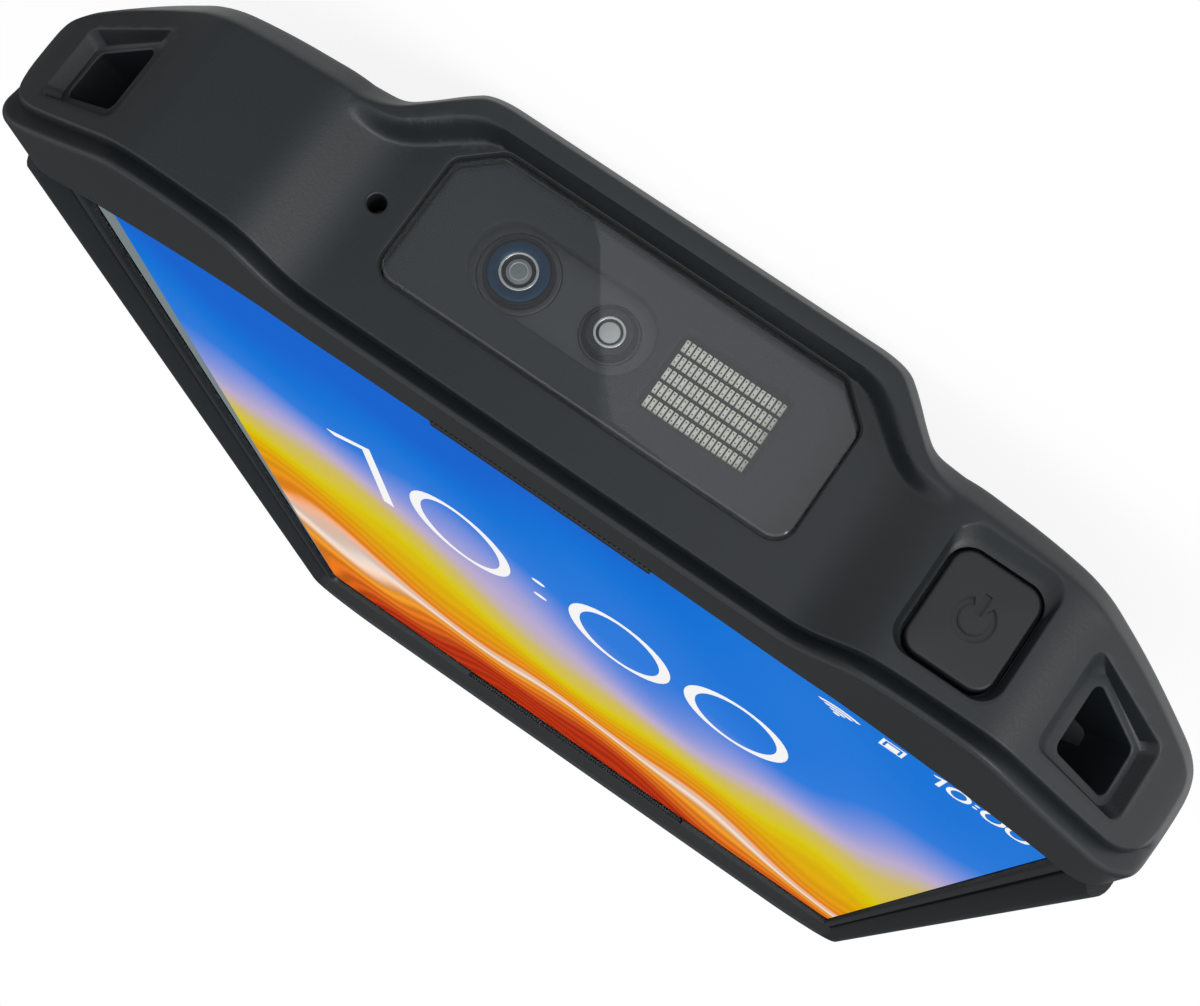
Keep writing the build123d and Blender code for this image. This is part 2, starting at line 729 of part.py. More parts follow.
def bottom_board():
    z = (glass_z - 5.6, glass_z - 4.8)
    board = tile((-29, 29), (bottom_y + 4.0, face_y - 142.5), z, 3)
    board -= block((-port_half - 0.2, port_half + 0.2), (bottom_y, bottom_y + 9.3), (0, 20))
    for x, y in body_screws[4:]:
        board -= rod_z(x, y, (0, 20), 2.4)
    return board


def usb_socket():
    """A shell with a rounded mouth and the contact tongue in its middle."""
    def sleeve(w, h, low, high):
        return along_y(low, high, *corners((-w, w), (port_z - h, port_z + h), h - 0.01))

    shell = sleeve(port_half, 1.55, bottom_y + 2.9, bottom_y + 9.0)
    shell -= sleeve(4.2, 1.28, bottom_y + 2.5, bottom_y + 8.2)
    tongue = block((-3.3, 3.3), (bottom_y + 4.0, bottom_y + 8.2), (port_z - 0.35, port_z + 0.35))
    return shell + tongue


def loudspeaker():
    return tile((-25, -12), (bay_y + 0.3, glass_bottom - 0.3), (glass_z - 4.75, glass_z - 0.95), 1.0)


def vibration_motor():
    can = rod_x((12, 20), bay_y + 2.6, glass_z - 2.9, 1.7)
    weight = rod_x((20.4, 23.4), bay_y + 2.6, glass_z - 2.9, 1.6)
    weight -= block((20, 24), (bay_y, bay_y + 6), (glass_z - 2.9, glass_z))
    return can + weight + rod_x((19.9, 20.5), bay_y + 2.6, glass_z - 2.9, 0.4)


def front_speaker_mesh():
    return block((-14.5, 14.5), (view_bottom - 0.58, view_bottom - 0.4), (glass_z + 0.05, glass_z + 0.5))


# ---- battery, its door and latch ----
def battery_pack():
    pack = tile((-battery_half, battery_half), battery_y, battery_z, 2.0)
    return fillet(pack.faces().sort_by(Axis.Z)[0].edges(), 0.8)


def battery_contacts():
    y0 = battery_y[1] + shim
    base = block((-8, 8), (y0 + 0.6, y0 + 3.0), (battery_z[0] + 2, board_z[0] - shim))
    for i in range(4):
        x = -5.25 + 3.5 * i
        base += block((x - 0.6, x + 0.6), (y0, y0 + 0.6), (battery_z[0] + 3, battery_z[0] + 5))
    return base


def battery_door():
    y0, y1 = door_y
    z0, z1 = door_z
    panel = along_x(-door_half, door_half, (y1, z1, 0.58), (y1, z0, 0.58), (y0, z0), (y0, z1))
    pocket = block((-latch_x - gap, latch_x + gap), (y0 + 1.2, y0 + 10.2), (-1, 1.0))
    grooves = block((-latch_x - 0.75, latch_x + 0.75), (y0 + 1.2, y0 + 10.2), (0.5, 1.0))
    tongue = block((-3.15, 3.15), (y0 - 1, y0 + 3), (0.4, 1.0))
    y, z = door_pivot
    lugs = rod_x((-door_half - 1.5, door_half + 1.5), y, z, pin_r)
    return panel - pocket - grooves - tongue + lugs


def battery_latch():
    y0 = door_y[0]
    slab = block((-latch_x, latch_x), (y0 + 3.5, y0 + 10.0), (0.25, 0.95))
    ribs = block((-latch_x - 0.6, latch_x + 0.6), (y0 + 3.5, y0 + 10.0), (0.56, 0.94))
    tongue = block((-3, 3), (y0 + 0.15, y0 + 3.6), (0.46, 0.94))
    latch = slab + ribs + tongue
    for i in range(5):
        y = y0 + 4.9 + 0.95 * i
        latch -= block((-4.2, 4.2), (y - 0.22, y + 0.22), (0, 0.45))
    return latch


# ---- port cover ----
def port_cover():
    y, z = cover_pivot
    face = bottom_y + 0.35
    plate = block((-cover_half, cover_half), (face, bottom_y + 1.65), cover_z)
    corners = [e for e in plate.edges().filter_by(Axis.Y) if e.center().Z > cover_z[0] + 1]
    plate = fillet(corners, 1.0)
    leaf = block((-3.9, 3.9), (face + 0.1, bottom_y + 1.65), (z, cover_z[0] + 0.1))
    knuckle = rod_x((-3.9, 3.9), y, z, 0.95)
    plug = block((-4.0, 4.0), (bottom_y + 1.65, bottom_y + 2.7), (port_z - 1.1, port_z + 1.1))
    cover = plate + leaf + knuckle + plug
    return cover - rod_x((-5, 5), y, z, pin_r + 0.06)


def hinge_pin():
    y, z = cover_pivot
    return rod_x((-9.4, 9.4), y, z, pin_r)


# ---- back of the housing ----
def camera_module():
    return tile((camera_x - 4.2, camera_x + 4.2), (camera_y - 4.2, camera_y + 4.2), (1.5, 6.5), 0.8)


def camera_window():
    return rod_z(camera_x, camera_y, (0.3, 1.0), 4.6)


def flash_lens():
    return rod_z(flash_x, camera_y, (0.3, 1.0), 1.8)


def dock_contacts():
    pins = None
    for x in dock_x:
        pin = rod_z(x, dock_y, (0.12, wall + 1.0), 0.75)
        pins = pin if pins is None else pins + pin
    return pins


# ---- fasteners and seal ----
def screw(x, y, z, reach):
    """A pan-head screw whose head lies towards -Z, with a six-sided socket."""
    head = rod_z(x, y, (z, z + screw_head[1]), screw_head[0])
    shank = rod_z(x, y, (z + screw_head[1], z + screw_head[1] + reach), screw_r)
    socket = Pos(x, y, z) * extrude(RegularPolygon(0.75, 6), 0.6)
    return head + shank - socket


def housing_screws():
    group = None
    for x, y in body_screws:
        top = chassis_z[1] if y > view_bottom else glass_z - 1.3
        one = screw(x, y, 0.3, top - 1.3 - shim)
        group = one if group is None else group + one
    return group


def head_screws():
    group = None
    for x, y in crown_screws:
        one = screw(x, y, glass_z - 8.6 - screw_head[1], chassis_z[1] - (glass_z - 8.6))
        group = one if group is None else group + one
    return group


def housing_seal():
    return seal_loop(0)


nodes = [
    head_crown, front_frame, rear_housing, cover_glass, display_panel, midframe, scan_window,
    window_gasket, optics_baffle, engine_chassis, imager_barrel, imager_lens, aimer_barrel, aimer_lens,
    led_board, led_rows, top_microphone, earpiece, earpiece_mesh, power_key, power_switch,
    left_scan_key, right_scan_key, function_key, volume_rocker, side_switches, key_flex, main_board,
    board_shield, bottom_board, usb_socket, loudspeaker, vibration_motor, front_speaker_mesh,
    battery_pack, battery_contacts, battery_door, battery_latch, port_cover, hinge_pin, camera_module,
    camera_window, flash_lens, dock_contacts, housing_screws, head_screws, housing_seal,
]

os.makedirs("parts", exist_ok=True)
for make in nodes:
    shape = make()
    export_step(shape, "parts/" + make.__name__ + ".step")
    size = shape.bounding_box().size
    print(f"{make.__name__:20s} {len(shape.solids())} solids, {size.X:.1f} x {size.Y:.1f} x {size.Z:.1f} mm")
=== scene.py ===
# %% [markdown]
# # A handheld data terminal, dressed
# The solids of the terminal come in as a fixed frame: every casing, key, lens and screw is already in its
# place, at its real size. What is missing is how it looks. This lesson gives each piece its finish, and makes
# the pieces that need softer edges or finer detail than the solids carry.

# %% Load the frame
import json
import math
import bmesh
import bpy
import numpy as np
from mathutils import Matrix, Vector
from mathutils.geometry import delaunay_2d_cdt

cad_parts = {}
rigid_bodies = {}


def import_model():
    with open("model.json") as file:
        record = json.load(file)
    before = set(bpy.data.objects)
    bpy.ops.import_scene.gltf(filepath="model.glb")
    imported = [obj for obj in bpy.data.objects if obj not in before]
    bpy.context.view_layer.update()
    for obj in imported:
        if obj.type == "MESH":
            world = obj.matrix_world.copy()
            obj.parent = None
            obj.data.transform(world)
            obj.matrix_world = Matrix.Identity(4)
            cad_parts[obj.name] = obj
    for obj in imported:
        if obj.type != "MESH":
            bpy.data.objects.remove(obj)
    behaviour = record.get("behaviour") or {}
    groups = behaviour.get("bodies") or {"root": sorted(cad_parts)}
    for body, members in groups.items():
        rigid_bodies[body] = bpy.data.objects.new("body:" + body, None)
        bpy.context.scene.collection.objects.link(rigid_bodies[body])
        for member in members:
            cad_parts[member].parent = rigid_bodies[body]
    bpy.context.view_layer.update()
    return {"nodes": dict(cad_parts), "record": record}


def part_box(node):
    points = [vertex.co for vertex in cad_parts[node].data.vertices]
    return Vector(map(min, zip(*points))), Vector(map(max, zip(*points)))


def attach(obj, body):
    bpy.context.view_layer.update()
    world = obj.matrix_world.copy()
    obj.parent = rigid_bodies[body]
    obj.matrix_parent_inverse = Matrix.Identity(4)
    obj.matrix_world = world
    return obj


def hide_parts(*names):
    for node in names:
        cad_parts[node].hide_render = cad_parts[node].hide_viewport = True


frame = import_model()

MM = 0.001

# %% [markdown]
# ## Driving dimensions
# Everything below is measured from three levels of the frame: the glass of the display, the plane of the scan
# window, and the crest of the two wings of the head. They are read from the solids, so nothing is fitted
# later. The front edge of the head's lip is an arc over the display, and it sets where the picture ends.

# %% Levels
GLASS_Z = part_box("cover_glass")[1].z / MM
CREST_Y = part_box("head_crown")[1].y / MM
SEAM_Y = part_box("head_crown")[0].y / MM
FULL_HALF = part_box("front_frame")[1].x / MM
BOTTOM_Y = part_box("front_frame")[0].y / MM
FACE_Y = CREST_Y - 2.15
LIP_BACK, LIP_RISE, LIP_HALF = 8.8, 4.7, 37.5
LIP_RADIUS = (LIP_HALF ** 2 + LIP_RISE ** 2) / (2 * LIP_RISE)
VIEW_HALF = 34.0
VIEW_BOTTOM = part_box("cover_glass")[0].y / MM + 1.0
VIEW_TOP = FACE_Y - LIP_BACK


def lip_arc(x):
    """y of the lip's front edge, from the window plane: an arc that falls by LIP_RISE up to LIP_HALF."""
    return -LIP_BACK - LIP_RADIUS + np.sqrt(LIP_RADIUS ** 2 - x ** 2)


print(f"glass {GLASS_Z:.2f}, window plane {FACE_Y:.2f}, crest {CREST_Y:.2f}, seam {SEAM_Y:.2f} mm")

# %% [markdown]
# ## Camera
# The terminal is seen from over its head, from close by: a short distance and a 67 mm lens make the head large
# and the display run away. The camera is given by where it stands and three unit vectors, so no angle is
# ambiguous.

# %% Camera
CAMERA_LENS = 67.12
CAMERA_AT = np.array((16.90, 184.565, 33.494))
CAMERA_RIGHT = np.array((0.82052, 0.00176, -0.57162))
CAMERA_DOWN = np.array((0.55919, -0.20990, 0.80203))
CAMERA_AHEAD = np.array((-0.11857, -0.97772, -0.17321))


def place_camera(location, right, down, forward, lens):
    """A camera looks along its own -Z with +Y up, so its axes are right, minus down and minus forward."""
    camera = bpy.data.objects.new("camera", bpy.data.cameras.new("camera"))
    camera.data.lens = lens
    camera.data.sensor_width = 36.0
    camera.data.clip_start = 0.001
    turn = np.column_stack([right, -down, -forward])
    camera.matrix_world = Matrix.Translation(Vector(location) * MM) @ Matrix(turn.tolist()).to_4x4()
    bpy.context.scene.collection.objects.link(camera)
    bpy.context.scene.camera = camera


place_camera(CAMERA_AT, CAMERA_RIGHT, CAMERA_DOWN, CAMERA_AHEAD, CAMERA_LENS)
print("camera", round(float(np.linalg.norm(CAMERA_AT - (0, FACE_Y, GLASS_Z)))), "mm from the scan window")

# %% [markdown]
# ## Colours and nodes
# Colours are written as they look on a screen, in sRGB, and one function turns them into the linear values
# that a renderer adds and multiplies. The other helpers each add one kind of node with its settings and links,
# so that a finish reads like a recipe.

# %% Helpers for materials
def linear(code):
    """sRGB hex to linear RGBA: c/12.92 in the darks, ((c+0.055)/1.055)^2.4 above them."""
    value = np.array([int(code[i:i + 2], 16) for i in (1, 3, 5)]) / 255
    value = np.where(value <= 0.04045, value / 12.92, ((value + 0.055) / 1.055) ** 2.4)
    return (*value.tolist(), 1.0)


def add(tree, kind, inputs=None, **settings):
    """Adds a node. settings are its properties; an input is a plain value, or the socket that feeds it."""
    made = tree.nodes.new("ShaderNode" + kind)
    for name, value in settings.items():
        setattr(made, name, value)
    for name, value in (inputs or {}).items():
        if isinstance(value, bpy.types.NodeSocket):
            tree.links.new(value, made.inputs[name])
        else:
            made.inputs[name].default_value = value
    return made


def maths(tree, operation, *values):
    """The result of one Math node."""
    return add(tree, "Math", dict(enumerate(values)), operation=operation).outputs[0]


def mixed(tree, share, first, second):
    """The colour between two, by share."""
    return add(tree, "MixRGB", {0: share, 1: first, 2: second}).outputs[0]


def noise(tree, place, size, detail=2.0):
    """A noise from 0 to 1 with grains of about size mm."""
    return add(tree, "TexNoise", {"Vector": place, "Scale": 1 / (size * MM), "Detail": detail}).outputs["Fac"]


def spread(tree, share, low, high):
    """A value between low and high, by share."""
    return add(tree, "MapRange", {0: share, 3: low, 4: high}).outputs[0]


def bumped(tree, height, depth):
    """A bump node for heights from 0 to 1 that stand for depth mm."""
    return add(tree, "Bump", {"Height": height, "Strength": 1.0, "Distance": depth * MM})


def feed(tree, shader, **sockets):
    """Links sockets to the shader's inputs. An underscore in a name stands for a space."""
    for key, socket in sockets.items():
        tree.links.new(socket, shader.inputs[key.replace("_", " ")])


def fresh(name, **values):
    """A new material: its node tree, its Principled shader with the given values, and Object coordinates."""
    material = bpy.data.materials.new(name)
    material.use_nodes = True
    tree = material.node_tree
    shader = tree.nodes["Principled BSDF"]
    for key, value in values.items():
        shader.inputs[key.replace("_", " ")].default_value = value
    place = add(tree, "TexCoord").outputs["Object"]
    return material, tree, shader, place


WHITE, BLACK = (1, 1, 1, 1), (0, 0, 0, 1)
print("mid grey is", round(linear("#808080")[0], 3))

# %% [markdown]
# ## Floor, backdrop and lamps
# A black object on white needs a floor that is white to the eye and still takes its shadow. The floor is
# nearly white paint; rays that come from the camera, from a reflection or through glass also get a little of
# its own light, which lifts the lit part to full white and leaves the shadow grey. The world works the same
# way.

# %% World and floor
WORLD_LEVEL = 0.40
FLOOR_GLOW, FLOOR_SHARE = 1.23, 0.72
FLOOR_HALF, FLOOR_Z = 4000, -0.02
EVERYWHERE = (-FLOOR_HALF, FLOOR_HALF)


def background_rays(tree):
    """1 for rays of the camera, of a reflection or through glass, 0 for the rest."""
    rays = add(tree, "LightPath").outputs
    first = maths(tree, "MAXIMUM", rays["Is Camera Ray"], rays["Is Glossy Ray"])
    return maths(tree, "MAXIMUM", first, rays["Is Transmission Ray"])


def make_world(level):
    """White where it is looked at, a grey of the given level where it lights."""
    world = bpy.data.worlds.new("studio")
    world.use_nodes = True
    bpy.context.scene.world = world
    tree = world.node_tree
    tree.nodes.clear()
    lit = add(tree, "Background", {"Color": WHITE, "Strength": level})
    seen = add(tree, "Background", {"Color": WHITE, "Strength": 1.0})
    both = add(tree, "MixShader", {0: background_rays(tree), 1: lit.outputs[0], 2: seen.outputs[0]})
    add(tree, "OutputWorld", {"Surface": both.outputs[0]})


def white_paint(name):
    """Matt white paint. For the rays that look at it, FLOOR_SHARE of its look is plain white light."""
    material, tree, shader, _ = fresh(name, Base_Color=linear("#f4f4f4"), Roughness=0.9,
                                      Specular_IOR_Level=0.0)
    glow = add(tree, "Emission", {"Color": WHITE, "Strength": FLOOR_GLOW})
    lifted = maths(tree, "MULTIPLY", background_rays(tree), FLOOR_SHARE)
    total = add(tree, "MixShader", {0: lifted, 1: shader.outputs[0], 2: glow.outputs[0]})
    add(tree, "OutputMaterial", {"Surface": total.outputs[0]}, is_active_output=True)
    return material


def sheet(name, corners, material):
    """One flat quad through four corners in mm. It belongs to the stage."""
    mesh = bpy.data.meshes.new(name)
    mesh.from_pydata((np.array(corners, float) * MM).tolist(), [], [(0, 1, 2, 3)])
    mesh.materials.append(material)
    made = bpy.data.objects.new(name, mesh)
    bpy.context.scene.collection.objects.link(made)
    return made


def level_corners(x, y, z):
    """Corners of a level rectangle from two (low, high) pairs."""
    return [(x[0], y[0], z), (x[1], y[0], z), (x[1], y[1], z), (x[0], y[1], z)]


make_world(WORLD_LEVEL)
sheet("floor", level_corners(EVERYWHERE, EVERYWHERE, FLOOR_Z), white_paint("matt_white_floor_paint"))
print("floor", FLOOR_HALF * 2 / 1000, "m square")

# %% [markdown]
# A studio keeps white out of a glossy reflection with dark cloths, called flags. A black one stands far
# beyond the bottom end, so that the display and the front of the head, seen at a low angle, don't mirror the
# white room. A grey one lies on the floor in front of the left half, and its edge draws the straight line that
# runs over the scan window. A dark one lies along the left side and keeps that rail dark. Only reflections see
# them: they cast no shadow and take no light away.

# %% Flags
def flag(name, corners, level):
    """A card that only reflections see, with the given brightness."""
    cloth = fresh(name + "_cloth", Base_Color=BLACK, Roughness=1.0, Emission_Color=WHITE,
                  Emission_Strength=level)[0]
    card = sheet(name, corners, cloth)
    card.visible_camera = card.visible_diffuse = card.visible_transmission = card.visible_shadow = False


def mirror_line(y):
    """x of the line on the floor whose mirror image in the scan window stands upright in the camera's view.

    The window is a mirror at FACE_Y, so the line is where the floor meets the plane through the mirrored
    camera that holds its mirrored ahead and down axes."""
    flip = np.array((1, -1, 1))
    eye = (CAMERA_AT - (0, FACE_Y, 0)) * flip + (0, FACE_Y, 0)
    normal = np.cross(CAMERA_AHEAD * flip, CAMERA_DOWN * flip)
    return eye[0] - (normal[1] * (y - eye[1]) - normal[2] * eye[2]) / normal[0]


NEAR_Y, SIDE_X, END_Y, END_TOP, FLAG_Z = CREST_Y + 4, -40, -1500, 1600, -0.01
flag("grey_floor_flag", [(-FLOOR_HALF, NEAR_Y, FLAG_Z), (mirror_line(NEAR_Y), NEAR_Y, FLAG_Z),
                         (mirror_line(FLOOR_HALF), FLOOR_HALF, FLAG_Z), (-FLOOR_HALF, FLOOR_HALF, FLAG_Z)],
     0.38)
flag("dark_side_flag", level_corners((-FLOOR_HALF, SIDE_X), (-FLOOR_HALF, NEAR_Y), FLAG_Z), 0.12)
flag("black_end_flag", [(-FLOOR_HALF, END_Y, 0), (FLOOR_HALF, END_Y, 0), (FLOOR_HALF, END_Y, END_TOP),
                        (-FLOOR_HALF, END_Y, END_TOP)], 0.05)
print("edge of the grey flag at x", mirror_line(NEAR_Y).round(1), "mm")

# %% [markdown]
# The lamps are suns, whose light is as strong on the far floor as on the near, so the white has no edge. The
# key comes low from the right, which is what draws the light along the right rail and the steps of the head. A
# wide soft one stands low, close beside the camera, and fills the rest.

# %% Lamps
KEY_LEVEL, FILL_LEVEL = 0.62, 0.22


def sun(name, toward, strength, spread_angle):
    """A sun that shines from the direction toward, with strength as the share of plain level it gives."""
    lamp = bpy.data.objects.new(name, bpy.data.lights.new(name, "SUN"))
    lamp.data.energy = strength * math.pi
    lamp.data.angle = math.radians(spread_angle)
    lamp.rotation_euler = Vector(toward).to_track_quat("Z", "Y").to_euler()
    bpy.context.scene.collection.objects.link(lamp)


sun("key", (0.80, 0.60, 0.12), KEY_LEVEL, 30)
sun("fill", (0.20, 0.95, 0.15), FILL_LEVEL, 60)
bpy.context.scene.view_settings.view_transform = "Standard"
print("plain level facing the key", round(WORLD_LEVEL + KEY_LEVEL, 2))

# %% [markdown]
# ## Finishes
# The casings are a polycarbonate blend moulded in a spark-eroded tool. That leaves a fine grain of about a
# tenth of a millimetre, which breaks the light into a soft sheen with a faint sparkle. The grain is a bump,
# since it is far finer than any edge; a slow second noise carries the slight unevenness of gloss that
# mouldings have.

# %% Moulded plastics
def moulded(name, colour, roughness, grain=0.14, depth=0.009, level=0.42, soft=0.0):
    """Moulded plastic: a noise bump of grain mm and depth mm, and a slow noise of 12 mm in gloss and tone.
    Where soft is given, the shading rounds sharp edges by that many mm."""
    material, tree, shader, place = fresh(name, Roughness=roughness, IOR=1.5, Specular_IOR_Level=level)
    slow = noise(tree, place, 12, 3.0)
    tone = np.array(linear(colour)[:3])
    bump = bumped(tree, noise(tree, place, grain), depth)
    if soft:
        tree.links.new(add(tree, "Bevel", {"Radius": soft * MM}, samples=4).outputs[0], bump.inputs["Normal"])
    feed(tree, shader, Base_Color=mixed(tree, slow, (*(tone * 0.88), 1), (*(tone * 1.12), 1)),
         Roughness=spread(tree, slow, roughness - 0.05, roughness + 0.05), Normal=bump.outputs[0])
    return material


finish = {
    "housing_plastic": moulded("polycarbonate_spark_eroded", "#181e21", 0.46),
    "rear_plastic": moulded("polycarbonate_spark_eroded_back", "#1c1f21", 0.55, soft=0.3),
    "key_plastic": moulded("key_cap_polycarbonate_satin", "#15191b", 0.42, depth=0.002, soft=0.3),
    "scan_key_plastic": moulded("key_cap_polycarbonate_orange", "#b5591c", 0.42, depth=0.002, soft=0.3),
    "black_mask": moulded("mask_abs_dark_grey_matt", "#363d43", 0.8, depth=0.0, level=0.05),
    "component_black": moulded("glass_filled_nylon_moulded", "#1b1c1d", 0.6),
    "battery_wrap": moulded("battery_case_polycarbonate", "#1e2022", 0.45),
    "elastomer": moulded("thermoplastic_elastomer_moulded", "#1a1b1c", 0.75, grain=0.2),
    "emitter_board": moulded("solder_resist_black", "#181a1b", 0.5, grain=0.3),
    # painted light: further down, this finish also gets a faint glow of its own
    "emitters": moulded("emitter_epoxy_moulded", "#f6f7f0", 0.45, grain=0.08, depth=0.0005),
    "circuit_board": moulded("fibreglass_solder_resist_green", "#1f5a38", 0.4, grain=0.5, depth=0.004),
    "flex": moulded("polyimide_film_amber", "#a5672a", 0.35, grain=1.0, depth=0.002),
}
print(len(finish), "moulded finishes")

# %% [markdown]
# Metals differ mostly in how they were made: the die-cast plate is dull and grainy, the plated can is bright,
# the screws are blackened, and the mesh over the speakers is a black woven steel cloth. A noise stretched
# along one axis gives the fine lines that drawing and grinding leave.

# %% Metals
def metal(name, colour, roughness, grain, depth, stretch=(1, 1, 1)):
    """Metal with a noise bump of grain mm, stretched along one axis where it was ground or drawn."""
    material, tree, shader, place = fresh(name, Base_Color=linear(colour), Metallic=1.0)
    turned = add(tree, "Mapping", {"Vector": place, "Scale": stretch}).outputs[0]
    fine = noise(tree, turned, grain)
    feed(tree, shader, Roughness=spread(tree, fine, roughness - 0.06, roughness + 0.06),
         Normal=bumped(tree, fine, depth).outputs[0])
    return material


def woven_mesh(name, pitch):
    """Black steel cloth: two waves across each other, of the given pitch in mm, as bump and dark holes."""
    material, tree, shader, place = fresh(name, Metallic=0.8, Roughness=0.45)
    waves = [add(tree, "TexWave", {"Vector": place, "Scale": 1 / (pitch * MM) / 20 * math.pi},
                 bands_direction=axis).outputs["Fac"] for axis in ("X", "Z")]
    height = maths(tree, "MAXIMUM", *waves)
    feed(tree, shader, Base_Color=mixed(tree, height, linear("#060606"), linear("#34373a")),
         Normal=bumped(tree, height, 0.05).outputs[0])
    return material


finish.update({
    "chassis_metal": metal("aluminium_die_cast", "#b9babd", 0.45, 0.3, 0.01),
    "engine_metal": metal("zinc_die_cast_dark", "#565a5f", 0.5, 0.3, 0.01),
    "lens_barrel": metal("aluminium_black_anodised", "#1d2328", 0.35, 0.2, 0.003),
    "shield_metal": metal("tin_plated_steel", "#c9c9c7", 0.25, 1.5, 0.003),
    "connector_metal": metal("stainless_drawn", "#b4b5b6", 0.28, 0.2, 0.002, (1, 8, 1)),
    "switch_metal": metal("stainless_dome_pressed", "#b8b9ba", 0.3, 0.3, 0.002),
    "motor_metal": metal("steel_can_nickel_plated", "#b0aea8", 0.3, 0.3, 0.002, (8, 1, 1)),
    "gold_contacts": metal("gold_plated_pads", "#d8aa55", 0.25, 0.3, 0.002),
    "screw_steel": metal("steel_blackened", "#3b3b3c", 0.38, 0.15, 0.004),
    "pin_steel": metal("steel_ground_pin", "#b2b3b4", 0.25, 0.15, 0.002, (8, 1, 1)),
    "mesh": woven_mesh("black_steel_cloth", 0.16),
})
print(len(finish), "finishes so far")

# %% [markdown]
# Three clear parts are left. The cover glass is chemically hardened and coated against reflections. The scan
# window is a smoked acrylic, which hides the engine behind it and keeps a clear reflection of the room. The
# lenses of the camera are coated glass. All let light straight through, as thin flat glass does, so what lies
# behind stays crisp.

# %% Clear parts
def clear(name, colour, cover, level, bending=1.5, roughness=0.03):
    """Clear sheet. cover is the share of the light that it stops; level and bending, its index of refraction,
    set the strength of its reflection, of which only the covered share is seen."""
    material, tree, shader, place = fresh(name, Base_Color=linear(colour), Alpha=cover, IOR=bending,
                                          Specular_IOR_Level=level)
    dust = noise(tree, place, 6)
    feed(tree, shader, Roughness=spread(tree, dust, roughness, roughness * 1.6))
    return material


finish.update({
    "cover_glass": clear("aluminosilicate_glass_coated", "#101214", 0.06, 0.5),
    "window": clear("acrylic_smoked_hard_coated", "#363d43", 0.20, 1.0, 1.85),
    "optics": clear("optical_glass_coated", "#7f8a90", 0.8, 0.8),
})
print(len(finish), "finishes with the clear ones")

# %% [markdown]
# The display is lit from behind, so its picture is light, not paint. The wallpaper is worked out from place: a
# height over the bottom edge, bent by three slow waves, picks a colour from orange over yellow and lilac to
# blue, and a finer set of waves lays light and dark folds over the warm part, like hills of sand at dusk.

# %% Lit display
WALLPAPER = [(0.0, "#b9300a"), (0.10, "#e8771a"), (0.15, "#f3a02a"), (0.19, "#f6e6dc"), (0.23, "#ee8a1e"),
             (0.33, "#e9a800"), (0.42, "#e4d000"), (0.52, "#d9c46a"), (0.60, "#c5b5d8"), (0.68, "#8f9ee6"),
             (0.78, "#2f80e6"), (0.90, "#0f78e0"), (1.0, "#1468d8")]
WAVES = ((9, 0.10, 0.6, 1.0), (21, 0.05, 2.1, -0.8), (43, 0.018, 4.0, 1.3))
FOLDS = 150.0
PAINTED_EDGE_LIGHT_WIDTH = 1.5
LIP_CURVE = round(LIP_RISE / LIP_HALF ** 2, 5)


def lit_picture(name):
    """Emission whose colour is a ramp over t = share of the height + WAVES, each (per metre, reach, phase,
    share across). The ramp's stops are the wallpaper's colours from the bottom edge to the head. A grey wedge
    along the left edge is painted light, standing in for the light that the border of the glass catches there.
    Under the head's lip, an arc y + LIP_CURVE x^2 = top, the panel is dark."""
    material, tree, shader, place = fresh(name, Base_Color=(0.004, 0.004, 0.005, 1), Roughness=0.3,
                                          Specular_IOR_Level=0.0, Emission_Strength=1.0)
    part = add(tree, "SeparateXYZ", {0: place}).outputs
    x, y = part["X"], part["Y"]
    bottom, top, left = VIEW_BOTTOM * MM, VIEW_TOP * MM, -VIEW_HALF * MM
    total = add(tree, "MapRange", {0: y, 1: bottom, 2: top}, clamp=False).outputs[0]
    for per_metre, reach, phase, across in WAVES:
        along = maths(tree, "MULTIPLY", x, per_metre * 2 * math.pi * across)
        bent = maths(tree, "MULTIPLY_ADD", y, per_metre * math.pi, along)
        wave = maths(tree, "SINE", maths(tree, "ADD", bent, phase))
        total = maths(tree, "MULTIPLY_ADD", wave, reach, total)
    ramp = add(tree, "ValToRGB", {0: total})
    stops = ramp.color_ramp.elements
    for stop, (position, colour) in zip(stops, (WALLPAPER[0], WALLPAPER[-1])):
        stop.position, stop.color = position, linear(colour)
    for position, colour in WALLPAPER[1:-1]:
        stops.new(position).color = linear(colour)
    folds = maths(tree, "SINE", maths(tree, "MULTIPLY", total, FOLDS))
    warm = add(tree, "MapRange", {0: total, 1: 0.42, 2: 0.12, 3: 0.0, 4: 0.22}).outputs[0]
    depth = maths(tree, "MULTIPLY_ADD", folds, warm, 1.0)
    shaded = add(tree, "VectorMath", {0: ramp.outputs[0], "Scale": depth}, operation="SCALE").outputs[0]
    # painted light: a grey wedge of emission along the left edge stands in for light caught by the glass border
    edge = add(tree, "MapRange", {0: y, 1: bottom, 2: top, 3: left, 4: left + PAINTED_EDGE_LIGHT_WIDTH * MM}).outputs[0]
    picture = mixed(tree, maths(tree, "LESS_THAN", x, edge), shaded, linear("#7f8b8e"))
    inside_x = maths(tree, "LESS_THAN", maths(tree, "ABSOLUTE", x), VIEW_HALF * MM)
    inside_y = maths(tree, "GREATER_THAN", y, bottom)
    curved = maths(tree, "MULTIPLY_ADD", maths(tree, "MULTIPLY", x, x), LIP_CURVE / MM, y)
    ahead_of_lip = maths(tree, "LESS_THAN", curved, (VIEW_TOP + 0.5) * MM)
    lit = maths(tree, "MULTIPLY", maths(tree, "MULTIPLY", inside_x, inside_y), ahead_of_lip)
    feed(tree, shader, Emission_Color=mixed(tree, lit, BLACK, picture))
    return material


finish["display"] = lit_picture("liquid_crystal_panel_lit")
print(len(finish), "finishes")

# %% [markdown]
# The record of the solids names a slot for each of them, which says what the piece is made of. A piece that
# needs no new shape, such as a screw or a circuit board, is done with this.

